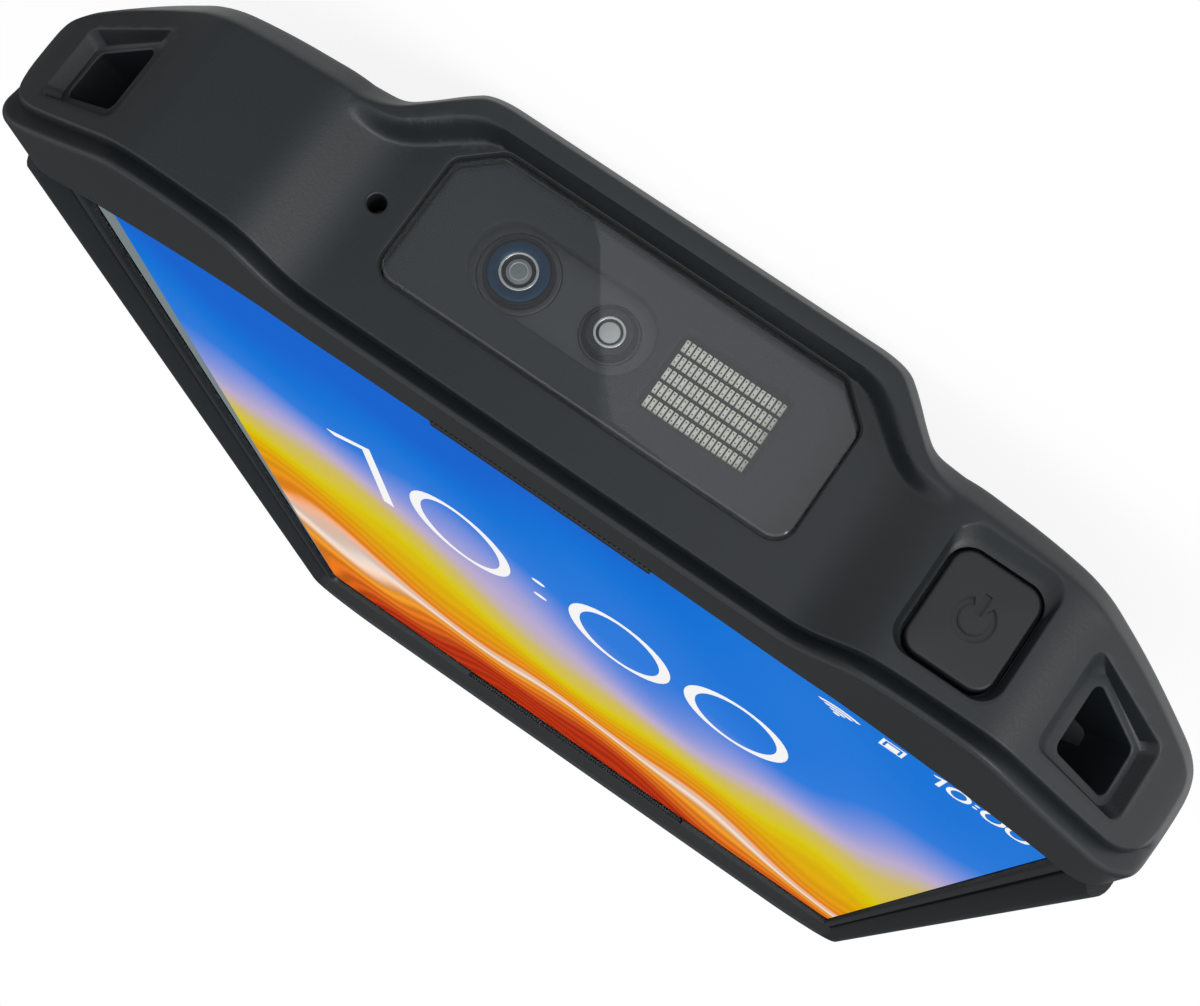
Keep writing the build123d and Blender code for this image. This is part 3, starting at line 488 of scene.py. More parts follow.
# %% Every node gets its finish
slot_of = {row["node"]: row["material_slot"] for row in frame["record"]["subparts"]}
for name, node in frame["nodes"].items():
    node.data.materials.clear()
    node.data.materials.append(finish[slot_of[name]])
print("dressed", len(frame["nodes"]), "nodes")

# %% [markdown]
# ## Outlines and sleeves
# Every opening of this object is an outline of straight runs and round corners: the window, the key, the strap
# eyelets. An opening could be cut with a plain prism, but a moulded edge is never sharp, so the cutter is a
# sleeve whose mouth flares like a trumpet: what it leaves behind is a rounded rim.

# %% Outline with round corners
def outline(corners, step=0.12):
    """Rows (u, v, radius) to a closed loop of points. An arc that touches both sides replaces each corner: it
    starts r / tan(half angle) before the corner, and its centre lies r from both sides."""
    corners = [np.array(c, float) for c in corners]
    loop = []
    for i, corner in enumerate(corners):
        here, radius = corner[:2], corner[2]
        back = corners[i - 1][:2] - here
        on = corners[(i + 1) % len(corners)][:2] - here
        back, on = back / np.linalg.norm(back), on / np.linalg.norm(on)
        half = math.acos(float(np.clip(back @ on, -1, 1))) / 2
        centre = here + (back + on) / np.linalg.norm(back + on) * radius / math.sin(half)
        first = here + back * radius / math.tan(half) - centre
        last = here + on * radius / math.tan(half) - centre
        turn = math.pi - 2 * half
        share = np.linspace(0, 1, max(2, int(math.ceil(radius * turn / step))) + 1)[:, None]
        arc = (np.sin((1 - share) * turn) * first + np.sin(share * turn) * last) / math.sin(turn)
        loop.append(centre + arc)
    return np.concatenate(loop)


def outward(loop):
    """Unit vectors that point out of a closed loop: the chord between a point's neighbours, turned by 90
    degrees."""
    chord = np.roll(loop, -1, 0) - np.roll(loop, 1, 0)
    after = np.roll(loop, -1, 0)
    area = np.sum(loop[:, 0] * after[:, 1] - after[:, 0] * loop[:, 1])
    side = np.column_stack([chord[:, 1], -chord[:, 0]]) * (1 if area > 0 else -1)
    return side / np.linalg.norm(side, axis=1)[:, None]


def rectangle(u, v, radius):
    """Corners of a rectangle with four equal radii, from two (low, high) pairs."""
    return [(u[0], v[0], radius), (u[1], v[0], radius), (u[1], v[1], radius), (u[0], v[1], radius)]


def square(u, v, half, radius):
    """Corners of a square round (u, v). With a radius close to half it is a round hole."""
    return rectangle((u - half, u + half), (v - half, v + half), radius)


print(len(outline(square(0, 0, 1, 0.3))), "points round a 2 mm square")

# %% [markdown]
# Nearly every surface here is a grid of points: rings round an outline, or sections along a path. The grid
# becomes quads, and its two ends are closed by one face each. In a mould, an opening is made by a core that
# shuts off against the other half of the tool. Closed plugs stand for the cores here, and one exact boolean
# takes them all out at once.

# %% Grids to meshes
def grid_faces(rows, columns, closed):
    """Quads of a grid of rows x columns points, rows joined end to end where closed."""
    index = np.arange(rows * columns).reshape(rows, columns)
    first = index if closed else index[:-1]
    last = np.roll(index, -1, 0) if closed else index[1:]
    quads = np.stack([first[:, :-1], last[:, :-1], last[:, 1:], first[:, 1:]], axis=-1)
    return quads.reshape(-1, 4)


def capped(grid, first=True, last=True):
    """Points and faces of a grid whose rows are joined end to end, with a face over its first and its last
    column."""
    rows, columns = grid.shape[:2]
    ring = np.arange(rows) * columns
    faces = grid_faces(rows, columns, True).tolist()
    if first:
        faces.append(ring.tolist())
    if last:
        faces.append((ring[::-1] + columns - 1).tolist())
    return grid.reshape(-1, 3), faces


def raised(flat_points, heights):
    """Adds a third coordinate to a grid of (u, v) points: one height for each column."""
    level = np.broadcast_to(np.array(heights, float)[None, :, None], flat_points.shape[:2] + (1,))
    return np.concatenate([flat_points, level], axis=2)


def build(name, points, faces, material, smooth=35):
    """An object from points in mm and faces. Faces are turned outwards, and edges over smooth degrees stay
    crisp."""
    mesh = bpy.data.meshes.new(name)
    mesh.from_pydata((np.asarray(points, float) * MM).tolist(), [], [list(map(int, f)) for f in faces])
    made = bpy.data.objects.new(name, mesh)
    bpy.context.scene.collection.objects.link(made)
    if material:
        mesh.materials.append(material)
    finish_mesh(mesh, smooth)
    return made


def finish_mesh(mesh, smooth):
    """Merges doubles, turns the faces outwards and shades them smooth up to an angle."""
    work = bmesh.new()
    work.from_mesh(mesh)
    bmesh.ops.remove_doubles(work, verts=work.verts, dist=0.0005 * MM)
    bmesh.ops.recalc_face_normals(work, faces=work.faces)
    work.to_mesh(mesh)
    work.free()
    mesh.shade_smooth()
    mesh.set_sharp_from_angle(angle=math.radians(smooth))


def sleeve(corners, profile, origin, u_axis, v_axis, out_axis, step=0.12):
    """A closed plug: the outline, grown outwards by g and placed h along out_axis, for each row (g, h) of the
    profile. A point is origin + u * u_axis + v * v_axis + h * out_axis."""
    loop = outline(corners, step)
    profile = np.array(profile, float)
    flat_points = loop[:, None, :] + outward(loop)[:, None, :] * profile[None, :, :1]
    axes = np.array([u_axis, v_axis, out_axis], float)
    return capped(raised(flat_points, profile[:, 1]) @ axes + np.array(origin, float))


def quarter(edge, start=0.0, count=5):
    """Rows (inset, rise) of a quarter round: inset edge (1 - cos a), rise edge (sin a - 1), up to level."""
    angles = np.linspace(start, math.pi / 2, count)
    return [(edge * (1 - math.cos(a)), edge * (math.sin(a) - 1)) for a in angles]


def flare(radius, depth, top):
    """Profile of a plug: straight up from -depth, then a quarter-round flare of the radius, then up to top."""
    return [(0, -depth)] + quarter(radius, 0, 6) + [(radius, top)]


def cut(target, plugs, smooth=35):
    """Takes closed plugs, as (points, faces), out of an object in one exact boolean. Edges over smooth degrees
    stay crisp."""
    folder = bpy.data.collections.new("plugs")
    bpy.context.scene.collection.children.link(folder)
    for i, (points, faces) in enumerate(plugs):
        cutter = build("plug_" + str(i), points, faces, None)
        bpy.context.scene.collection.objects.unlink(cutter)
        folder.objects.link(cutter)
    change = target.modifiers.new("openings", "BOOLEAN")
    change.operation, change.solver = "DIFFERENCE", "EXACT"
    change.operand_type, change.collection = "COLLECTION", folder
    view = bpy.context.evaluated_depsgraph_get()
    mesh = bpy.data.meshes.new_from_object(target.evaluated_get(view))
    target.modifiers.clear()
    old = target.data
    target.data = mesh
    mesh.name = old.name
    bpy.data.meshes.remove(old)
    for cutter in list(folder.objects):
        bpy.data.objects.remove(cutter)
    bpy.data.collections.remove(folder)
    finish_mesh(mesh, smooth)


print("flare of 0.2 mm has", len(flare(0.2, 1, 1)), "rows")

# %% [markdown]
# ## Head crown
# The crown is one thick moulding: two wings, a valley between them with the scan window, a groove and two thin
# ridges along the front, and a bump on the back that gives the scan engine its depth. It could be pushed and
# pulled from a box, but its edges would then depend on where the box was cut. Here the height of its top face
# is a function of place: the profile of the wings across, lifted behind the window by a rim.

# %% Height of the top face
SHOULDER_X, WING_SLOPE, RIM_HEIGHT = 26.2, 0.787, 1.75
RIM_FOOT = [(0, -10.95), (11.2, -10.95), (12.6, -9.9), (14.0, -8.75), (15.4, -7.9), (17.0, -7.5), (40, -7.5)]
RIM_CREST = [(0, -11.35), (11.6, -11.35), (12.6, -11.0), (13.6, -10.2), (14.7, -9.2), (16.0, -8.5),
             (40, -8.3)]


def bends(x, *places):
    """A level line that changes slope by ds over a width w at each place (x0, ds, w). Each bend is a
    parabola."""
    y = np.zeros_like(x)
    for x0, ds, w in places:
        t = np.clip((x - x0) / w + 0.5, 0, 1)
        y += ds * (w * t * t / 2 + np.maximum(x - x0 - w / 2, 0))
    return y


def ease(t):
    """0 to 1 with level ends: 3t^2 - 2t^3."""
    t = np.clip(t, 0, 1)
    return t * t * (3 - 2 * t)


def wing(x):
    """Height over the window plane: level valley, up to the wing's crest, level, then down the shoulder."""
    return bends(np.abs(x), (15.3, 0.651, 2.2), (18.6, -0.651, 2.0), (SHOULDER_X, -WING_SLOPE, 2.6),
                 (35.2, -0.5, 1.2))


def along_rim(rows, x):
    """z of a line through the rows (x, z), its corners rounded by the mean of two points 0.8 mm apart."""
    table = np.array(rows, float)
    return sum(np.interp(np.abs(x) + shift, table[:, 0], table[:, 1]) for shift in (-0.4, 0.4)) / 2


def top_height(x, z):
    """The wing profile, lifted behind the window: from the rim's foot to its crest it eases to RIM_HEIGHT."""
    foot, crest = along_rim(RIM_FOOT, x), along_rim(RIM_CREST, x)
    height = wing(x)
    return height + ease((foot - z) / (foot - crest)) * np.maximum(RIM_HEIGHT - height, 0)


def rim_samples():
    """Points in rows that follow the rim's wall, so that the triangles there run along it."""
    x = np.arange(-18.4, 18.41, 0.2)
    foot, crest = along_rim(RIM_FOOT, x), along_rim(RIM_CREST, x)
    share = np.linspace(-0.1, 1.1, 9)[:, None]
    z = foot + (crest - foot) * share
    return np.column_stack([np.broadcast_to(x, z.shape).ravel(), z.ravel()])


def on_rim(points):
    """True for points (x, z over the glass) in the strip that the rows of the rim fill."""
    x, z = points[:, 0], points[:, 1] - GLASS_Z
    foot, crest = along_rim(RIM_FOOT, x), along_rim(RIM_CREST, x)
    return (np.abs(x) < 18.6) & (z < foot + 0.28) & (z > crest - 0.28)


print("crest", wing(np.array([22.0]))[0].round(2), "mm over the window plane")

# %% [markdown]
# The outside of the crown is one surface. A loop runs round the top face and is carried outwards, over the
# groove in front and round the chamfer at the back, and then straight down to the seam. A row of the table
# holds x and z for the right half three times: at the crease, where the top face ends, at the outer edge and
# at the seam. The two step tables say how deep the surface lies at a share of the way from crease to edge.
# They have equally many rows, so that one can be blended into the other, and a row that stands twice keeps its
# corner sharp.

# %% Surface of the crown
CROWN = [
    (0, 0.75, 0, 1.92, 0, 0.90), (6, 0.75, 6, 1.92, 6, 0.90), (12, 0.75, 12, 1.92, 12, 0.90),
    (15.5, 0.72, 15.6, 1.90, 15.6, 0.95), (17, 0.55, 17.3, 1.8, 17.3, 1.0), (18.8, 0.36, 19.0, 1.6, 19, 1.05),
    (22, 0.30, 22, 1.5, 22, 1.1), (25.5, 0.30, 25.5, 1.55, 25.5, 1.15), (28.5, 0.28, 28.6, 1.68, 28.6, 1.2),
    (32, 0.28, 32.2, 1.7, 32.2, 1.3), (34.2, 0.2, 34.6, 1.65, 34.7, 1.5), (35.3, -0.5, 36.0, 0.9, 36.1, 1.0),
    (35.7, -1.8, 36.5, -0.4, 36.7, -0.4), (35.7, -3.2, 36.6, -3.0, 36.7, -3.0),
    (35.6, -4.7, 36.5, -5.0, 36.6, -5.0), (34.8, -5.3, 35.7, -6.2, 35.7, -6.2),
    (32.3, -6.35, 32.9, -7.3, 32.9, -7.3), (29.5, -7.2, 30.0, -8.3, 30, -8.3),
    (26.5, -7.8, 26.8, -9.1, 26.8, -9.35), (23, -8.15, 23.0, -9.65, 23, -9.65),
    (19.5, -8.3, 19.5, -9.85, 19.5, -9.85), (17.3, -8.5, 17.2, -10.0, 17.2, -10.0),
    (15.9, -9.1, 16.1, -10.05, 16.0, -10.05), (14.9, -10.0, 15.3, -10.6, 15.3, -10.7),
    (13.2, -11.5, 13.8, -12.1, 13.8, -12.1), (12.1, -12.25, 12.5, -13.08, 12.5, -13.08),
    (9, -12.25, 9, -13.08, 9, -13.08), (0, -12.25, 0, -13.08, 0, -13.08),
]
FRONT_STEP = [(0, 0), (0.04, 0.0), (0.10, 0.04), (0.14, 0.28), (0.17, 0.62), (0.19, 0.86), (0.19, 0.86),
              (0.66, 0.48), (0.76, 0.40), (0.90, 0.42), (0.97, 0.58), (1.0, 0.90)]
BACK_STEP = [(0, 0), (0.06, 0.01), (0.16, 0.08), (0.28, 0.24), (0.40, 0.42), (0.55, 0.66), (0.68, 0.86),
             (0.80, 1.06), (0.90, 1.24), (0.96, 1.40), (0.99, 1.56), (1.0, 1.75)]


def cut_corners(rows, passes, closed):
    """Each pass replaces a corner by the points a quarter and three quarters along its sides."""
    for _ in range(passes):
        after = np.roll(rows, -1, 0)
        both = np.stack([0.75 * rows + 0.25 * after, 0.25 * rows + 0.75 * after], axis=1)
        both = both if closed else both[:-1]
        middle = both.reshape(-1, rows.shape[1])
        rows = middle if closed else np.concatenate([rows[:1], middle, rows[-1:]])
    return rows


def crown_shell():
    """Ring by level grid of the crown's outside, from the crease of the top face down to the seam.

    For a ring position a and a share s of the strip: x and z run straight from the crease to the outer edge,
    and y = height of the top face there - step(s). Below it, x and z ease over to the seam's loop as y runs
    down."""
    right = np.array(CROWN, float)
    flip = np.array([-1, 1, -1, 1, -1, 1])
    ring = cut_corners(np.concatenate([right, right[-2:0:-1] * flip]), 3, True)
    crease, edge, seam = ring[:, :2], ring[:, 2:4], ring[:, 4:]
    front = ease((edge[:, 1] + 1.2) / 2.0)[:, None]
    steps = [cut_corners(np.array(rows), 2, False) for rows in (FRONT_STEP, BACK_STEP)]
    share, step = (front * steps[0][:, k] + (1 - front) * steps[1][:, k] for k in (0, 1))
    strip = crease[:, None, :] + (edge - crease)[:, None, :] * share[:, :, None]
    carried = top_height(crease[:, 0], crease[:, 1])[:, None] - wing(crease[:, 0])[:, None]
    y = wing(strip[:, :, 0]) + carried - step
    start = y[:, -1:]
    down = np.array([0.02, 0.06, 0.12, 0.2, 0.3, 0.45, 0.6, 0.8, 1.0])[None, :]
    wall_y = start + (SEAM_Y - FACE_Y - start) * down
    across = ease(down / 0.45) * (1 - front) + down * front
    wall = edge[:, None, :] + (seam - edge)[:, None, :] * across[:, :, None]
    flat_points = np.concatenate([strip, wall], axis=1)
    height = np.concatenate([y, wall_y], axis=1)
    return np.stack([flat_points[..., 0], height + FACE_Y, flat_points[..., 1] + GLASS_Z], axis=-1)


def inside(loop, points):
    """True for points inside a closed loop: a ray to the right crosses it an odd number of times."""
    x, y = points[:, :1], points[:, 1:]
    x0, y0 = loop[:, 0][None], loop[:, 1][None]
    x1, y1 = np.roll(x0, -1, 1), np.roll(y0, -1, 1)
    slope = (x1 - x0) / np.where(y1 == y0, 1e-12, y1 - y0)
    crossing = ((y0 > y) != (y1 > y)) & (x < x0 + (y - y0) * slope)
    return crossing.sum(1) % 2 == 1


def near(loop, points, reach):
    """True for points within reach of a closed loop: the distance to a side is |p - a - t (b - a)|, with t the
    share along the side, kept between 0 and 1."""
    side = np.roll(loop, -1, 0) - loop
    offset = points[:, None] - loop[None]
    t = np.clip((offset * side).sum(2) / np.maximum((side ** 2).sum(1), 1e-12), 0, 1)
    return (((offset - t[..., None] * side) ** 2).sum(2) < reach ** 2).any(1)


def filled(loop, spacing, rows, taken):
    """Triangles that fill a loop, with free points inside it: the given rows, and a square grid of that
    spacing where it isn't taken. Points close to the loop are left out, since they make slivers."""
    low, high = loop.min(0), loop.max(0)
    u, v = np.meshgrid(np.arange(low[0], high[0], spacing), np.arange(low[1], high[1], spacing))
    grid = np.column_stack([u.ravel(), v.ravel()])
    free = np.concatenate([grid[~taken(grid)], rows])
    free = free[inside(loop, free) & ~near(loop, free, 0.12)]
    edges = [(i, (i + 1) % len(loop)) for i in range(len(loop))]
    points = [Vector(p) for p in np.concatenate([loop, free]).tolist()]
    out, _, faces, _, _, _ = delaunay_2d_cdt(points, edges, [], 0, 1e-5)
    out = np.array([tuple(p) for p in out])
    faces = np.array(faces)
    return out, faces[inside(loop, out[faces].mean(1))]


def make_crown():
    """The shell, closed by the height function on top and by a flat face at the seam."""
    shell = crown_shell()
    crease = shell[:, 0, [0, 2]]
    cap, triangles = filled(crease, 0.4, rim_samples() + (0, GLASS_Z), on_rim)
    cap_y = FACE_Y + top_height(cap[:, 0], cap[:, 1] - GLASS_Z)
    points, faces = capped(shell, first=False)
    seam = faces.pop()
    faces += (triangles + len(points)).tolist() + [seam]
    return np.concatenate([points, np.column_stack([cap[:, 0], cap_y, cap[:, 1]])]), faces


crown = build("head_crown_moulding", *make_crown(), finish["housing_plastic"])
print("crown", len(crown.data.polygons), "faces before its openings")

# %% [markdown]
# ### Openings of the crown
# The window sits in a pocket whose rim is rounded by 0.08 mm. The power key stands in a dish, whose walls
# slope more at the back, and the strap eyelets open in a bevelled pan with a flat ring round the passage. In
# front, a wide shallow arc opens the moulding over the display. The rim behind the window is steep for the
# spacing of its rows, so the crown is shaded smooth over edges up to 58 degrees: at 35, facets would show.

# %% Cut the openings
WINDOW_HALF, WINDOW_CHAMFER = 12.45, 10.35
WINDOW_Z = (-10.9, -9.05, -1.84)
POWER_X, POWER_Z = 22.0, -3.85
POWER_HALF_X, POWER_HALF_Z = 2.5, 3.0
EYELET_X, EYELET_Z, EYELET_DEPTH = 30.75, -3.4, 0.9
WING_TOP = 2.17
X, Y, Z = np.eye(3)
FACE = (0, FACE_Y, GLASS_Z)


def through_face(corners, profile, step=0.12):
    """A sleeve seen along -Y: u is x, v is z over the glass, and heights count from the window plane."""
    return sleeve(corners, profile, FACE, X, Z, Y, step)


def window_outline(grow):
    """The window seen along -Y: a wide front, two bevelled corners at the back."""
    back, side, front = WINDOW_Z
    right = [(WINDOW_HALF + grow, front + grow, 1.2 + grow), (WINDOW_HALF + grow, side - 0.4 * grow, 0.9),
             (WINDOW_CHAMFER + 0.4 * grow, back - grow, 0.9)]
    return right + [(-x, z, r) for x, z, r in reversed(right)]


def power_outline(grow):
    """The power key seen along -Y, 5 x 6 mm."""
    return rectangle((POWER_X - POWER_HALF_X - grow, POWER_X + POWER_HALF_X + grow),
                     (POWER_Z - POWER_HALF_Z - grow, POWER_Z + POWER_HALF_Z + grow), 1.1 + grow)


def eyelet_plugs(side):
    """Pan, passage and rear opening of one strap eyelet; side is 1 for the right wing and -1 for the left."""
    lean = math.atan(WING_SLOPE)
    out = np.array((side * math.sin(lean), math.cos(lean), 0))
    along = np.array((side * math.cos(lean), -math.sin(lean), 0))
    surface = FACE_Y + WING_TOP - (EYELET_X - SHOULDER_X) * WING_SLOPE
    centre = np.array((side * EYELET_X, surface, GLASS_Z + EYELET_Z))
    hole = [(-1.75, -2.0, 0.5), (2.8, -2.15, 0.5), (2.7, 0.75, 0.5), (-1.75, 2.1, 0.5)]
    mouth = [(-3.9, -2.8), (3.6, -2.9), (3.5, 1.6), (-3.9, 3.1)]
    ring = [(-2.35, -2.45), (3.25, -2.6), (3.15, 1.2), (-2.35, 2.75)]
    rear = rectangle(sorted((side * 28.8, side * 32.5)), (-11.4, -6.4), 0.6)
    return [loft(mouth, ring, EYELET_DEPTH, centre, along, -Z, out),
            sleeve(hole, flare(0.12, 7.0, 0.3), centre - EYELET_DEPTH * out, along, -Z, out),
            sleeve(rear, [(0, -3.3), (0, -6.2), (0.15, -6.5), (0.5, -6.9), (0.5, -14)], FACE, X, Y, Z)]


def loft(mouth, ring, depth, origin, u_axis, v_axis, out_axis, radius=0.7):
    """A plug between two outlines of four corners: the mouth at the surface, flared, and the ring at a depth. A
    level (s, h) lies the share s of the way to the ring, or -s mm outside the mouth, at height h."""
    wide = outline([(*p, radius) for p in mouth])
    narrow = outline([(*p, radius) for p in ring])
    even = np.linspace(0, 1, len(wide), endpoint=False)
    share = np.linspace(0, 1, len(narrow), endpoint=False)
    narrow = np.column_stack([np.interp(even, share, narrow[:, k], period=1) for k in (0, 1)])
    away = outward(wide)
    levels = [(1.0, -depth), (0.55, -depth * 0.62), (0.12, -0.14), (0.0, -0.03), (-0.12, 0.02), (-0.12, 3.0)]
    flat_points = np.stack([narrow * s + wide * (1 - s) if s >= 0 else wide - away * s for s, _ in levels],
                           axis=1)
    axes = np.array([u_axis, v_axis, out_axis])
    return capped(raised(flat_points, [h for _, h in levels]) @ axes + np.array(origin))


def lip_plug():
    """What is open over the display: below the lip's arc, standing on the glass."""
    x = np.linspace(-LIP_HALF, LIP_HALF, 160)
    loop = np.concatenate([np.column_stack([x, lip_arc(x)]), [(LIP_HALF, -40), (-LIP_HALF, -40)]])
    rows = len(loop)
    points = np.concatenate([np.column_stack([loop, np.full(rows, h)]) for h in (0.05, 9.0)]) + FACE
    ring = np.arange(rows)
    sides = np.stack([ring, np.roll(ring, -1), np.roll(ring, -1) + rows, ring + rows], axis=1).tolist()
    return points, sides + [ring.tolist(), (ring[::-1] + rows).tolist()]


POWER_DISH = [(18.9, -7.95), (25.0, -7.95), (25.0, -0.5), (18.9, -0.5)]
POWER_SLOT = [(19.32, -7.03), (24.68, -7.03), (24.68, -0.67), (19.32, -0.67)]
plugs = [
    lip_plug(),
    sleeve(rectangle((-35.1, 35.1), (-30, -7.5), 0.4), [(0, -2.95), (0, 0.05)], FACE, X, Y, Z),
    through_face(window_outline(0.06), flare(0.08, 14, 4)),
    through_face(square(-14.25, -4.9, 0.5, 0.49), flare(0.12, 2.2, 1)),
    through_face(power_outline(0.17), [(0, -4), (0, 1.5)], 0.08),
    loft(POWER_DISH, POWER_SLOT, 0.78, (0, CREST_Y, GLASS_Z), X, Z, Y, 1.3),
    through_face(power_outline(0.62), [(0, -4), (0, 0.45)]),
    *eyelet_plugs(1), *eyelet_plugs(-1),
]
for x in (-21.5, 21.5):
    screw_hole = [(0, -8.6), (0, -9.5), (0.15, -9.75), (0.15, -15)]
    plugs.append(sleeve(square(x, -11, 1.68, 1.66), screw_hole, FACE, X, Y, Z))
cut(crown, plugs, 58)
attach(crown, "housing")
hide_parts("head_crown")
print("crown", len(crown.data.polygons), "faces")

# %% [markdown]
# ## Display and its glass
# The panel is bonded to the glass with clear resin, and glass bends light so much at a low angle that the
# picture seems to lie just under the surface. Real bending costs many rays and a grainy picture. Instead the
# panel is made up to where the picture appears, and a thin sheet of glass with a rounded edge lies on it.

# %% Panel and glass
APPARENT_DEPTH = 0.06


def on_housing(piece, node):
    """Rides the piece on the housing and lets it stand for a node."""
    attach(piece, "housing")
    if node:
        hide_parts(node)
    return piece


def slab(name, node, slot, low, high, half, ends, radius, edge):
    """A plate between two levels with round corners and a rounded upper edge."""
    rim = [(-inset, high + rise) for inset, rise in quarter(edge)]
    points, faces = sleeve(rectangle((-half, half), ends, radius), [(0, low)] + rim, (0, 0, 0), X, Y, Z)
    return on_housing(build(name, points, faces, finish[slot]), node)


def lights_nothing(piece):
    """The picture is seen, also through glass, but its light doesn't fall on the casing round it: the real
    panel is far dimmer than a studio's lamps, and would tint nothing."""
    piece.visible_diffuse = piece.visible_glossy = False


glass_ends = (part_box("cover_glass")[0].y / MM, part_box("cover_glass")[1].y / MM)
panel_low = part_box("display_panel")[0].z / MM
picture_z = GLASS_Z - APPARENT_DEPTH
lights_nothing(slab("display_panel_lit", "display_panel", "display", panel_low, picture_z - 0.02, 34.2,
                    (glass_ends[0] + 0.8, glass_ends[1] - 0.8), 2.0, 0.02))
slab("cover_glass_sheet", "cover_glass", "cover_glass", picture_z, GLASS_Z, 35.0, glass_ends, 3.0, 0.12)
print("picture", APPARENT_DEPTH, "mm under the glass")

# %% [markdown]
# The clock and the two status signs are strokes: a path with a width. Each is a thin closed ribbon that lies
# on the lit panel and glows white. Strokes need no font, and stay sharp however close the camera comes.

# %% Clock digits and status signs
SIGN_LEVELS = (picture_z - 0.02, picture_z - 0.005)
CLOCK_HEIGHT = 18.0


def stroke(path, width, low, high, closed=False):
    """A closed bar of rectangular section along a path (u, v): at each point the section stands half the width
    to both sides of the path's normal, between two levels."""
    path = np.array(path, float)
    ahead = np.roll(path, -1, 0) - path
    behind = path - np.roll(path, 1, 0)
    if not closed:
        ahead[-1], behind[0] = behind[-1], ahead[0]
    ahead /= np.linalg.norm(ahead, axis=1)[:, None]
    behind /= np.linalg.norm(behind, axis=1)[:, None]
    along = ahead + behind
    along /= np.linalg.norm(along, axis=1)[:, None]
    mitre = 1 / np.clip(np.sum(along * ahead, axis=1), 0.5, 1)
    side = np.column_stack([along[:, 1], -along[:, 0]]) * (mitre * width / 2)[:, None]
    flat_points = np.stack([path - side, path + side, path + side, path - side], axis=1)
    points = raised(flat_points, (low, low, high, high)).reshape(-1, 3)
    index = np.arange(len(path) * 4).reshape(-1, 4)
    first = index if closed else index[:-1]
    last = np.roll(index, -1, 0) if closed else index[1:]
    faces = np.stack([first, last, np.roll(last, -1, 1), np.roll(first, -1, 1)], axis=-1)
    faces = faces.reshape(-1, 4).tolist()
    if not closed:
        faces += [index[0].tolist(), index[-1][::-1].tolist()]
    return points, faces


def arc(centre, radii, start, end, count=40):
    """Points of an ellipse's arc from one angle to another, in degrees."""
    angle = np.radians(np.linspace(start, end, count, endpoint=abs(end - start) < 360))
    return np.column_stack([centre[0] + radii[0] * np.cos(angle), centre[1] + radii[1] * np.sin(angle)])


def joined(shapes):
    """Several (points, faces) as one."""
    points, faces, base = [], [], 0
    for shape_points, shape_faces in shapes:
        points.append(shape_points)
        faces += [[v + base for v in face] for face in shape_faces]
        base += len(shape_points)
    return np.concatenate(points), faces


def clock(centre, height, weight):
    """The digits 10:00 as strokes: a flagged bar, ovals and two dots, spaced from the digits' height."""
    x0, y0 = centre
    half = height / 2
    foot = x0 - 0.97 * height
    flagged_bar = [(foot - 0.19 * height, y0 + half - 0.16 * height), (foot, y0 + half), (foot, y0 - half)]
    shapes = [stroke(flagged_bar, weight, *SIGN_LEVELS)]
    for offset in (-0.56, 0.22, 0.78):
        oval = arc((x0 + offset * height, y0), (0.22 * height, half), 0, 360)
        shapes.append(stroke(oval, weight, *SIGN_LEVELS, True))
    for rise in (0.16, -0.16):
        dot = arc((x0 - 0.17 * height, y0 + rise * height), (weight * 0.3, weight * 0.3), 0, 360, 12)
        shapes.append(stroke(dot, weight * 0.6, *SIGN_LEVELS, True))
    return joined(shapes)


def status_signs(x, y):
    """Three arcs over a dot for the radio, and an outline with a fill for the battery."""
    shapes = [stroke(arc((x, y), (r, r), 48, 132, 12), 0.34, *SIGN_LEVELS) for r in (0.7, 1.35, 2.0)]
    shapes.append(stroke(arc((x, y), (0.12, 0.12), 0, 360, 10), 0.22, *SIGN_LEVELS, True))
    cell = [(x + 3.0, y + 0.1), (x + 4.4, y + 0.1), (x + 4.4, y + 2.3), (x + 3.0, y + 2.3)]
    shapes.append(stroke(cell, 0.2, *SIGN_LEVELS, True))
    shapes.append(stroke([(x + 3.7, y + 0.35), (x + 3.7, y + 1.7)], 0.85, *SIGN_LEVELS))
    return joined(shapes)


glowing = fresh("liquid_crystal_white_lit", Base_Color=BLACK, Roughness=0.3, Emission_Color=WHITE,
                Emission_Strength=1.0)[0]
for name, shape in (("clock_large", clock((0.7, 25.3), CLOCK_HEIGHT, 0.95)),
                    ("clock_small", clock((29.6, 56.0), 3.0, 0.3)), ("status_signs", status_signs(19.6, 55.4))):
    lights_nothing(on_housing(build(name, *shape, glowing), None))
print("digits", CLOCK_HEIGHT, "mm high")

# %% [markdown]
# ## Front frame
# The frame round the display is one moulding: a low lip that holds the glass, a fine groove, and an outer band
# that rises from the groove and rolls over into the side. It is a section carried along a U. There are two
# such paths, one beside the glass and one along the outside, and each row of the section hangs on one of them,
# so the band can be narrow beside the display and wide at the bottom end.

# %% Paths and section
LIP_ROWS = [(0.45, -7.0), (0.45, -1.3), (1.12, -1.3), (1.12, 0.03), (0.0, 0.03), (0.0, 0.36), (0.05, 0.48),
            (0.16, 0.55), (0.54, 0.56), (0.64, 0.53), (0.70, 0.45), (0.70, 0.09), (0.93, 0.09), (0.93, 0.42),
            (0.97, 0.56)]
BAND_TOP = 1.45
BAND_ROWS = [(0.96, 1.26), (0.86, 1.38), (0.74, 1.44), (0.60, 1.45), (0.42, 1.38), (0.22, 1.16), (0.07, 0.84),
             (0.0, 0.45), (0.0, -2.0), (0.0, -4.4), (0.35, -5.6), (1.02, -7.0)]
GRIP_Y, GRIP_EASE, GRIP_STEP = (-53.85, 35.15), 6, 0.7


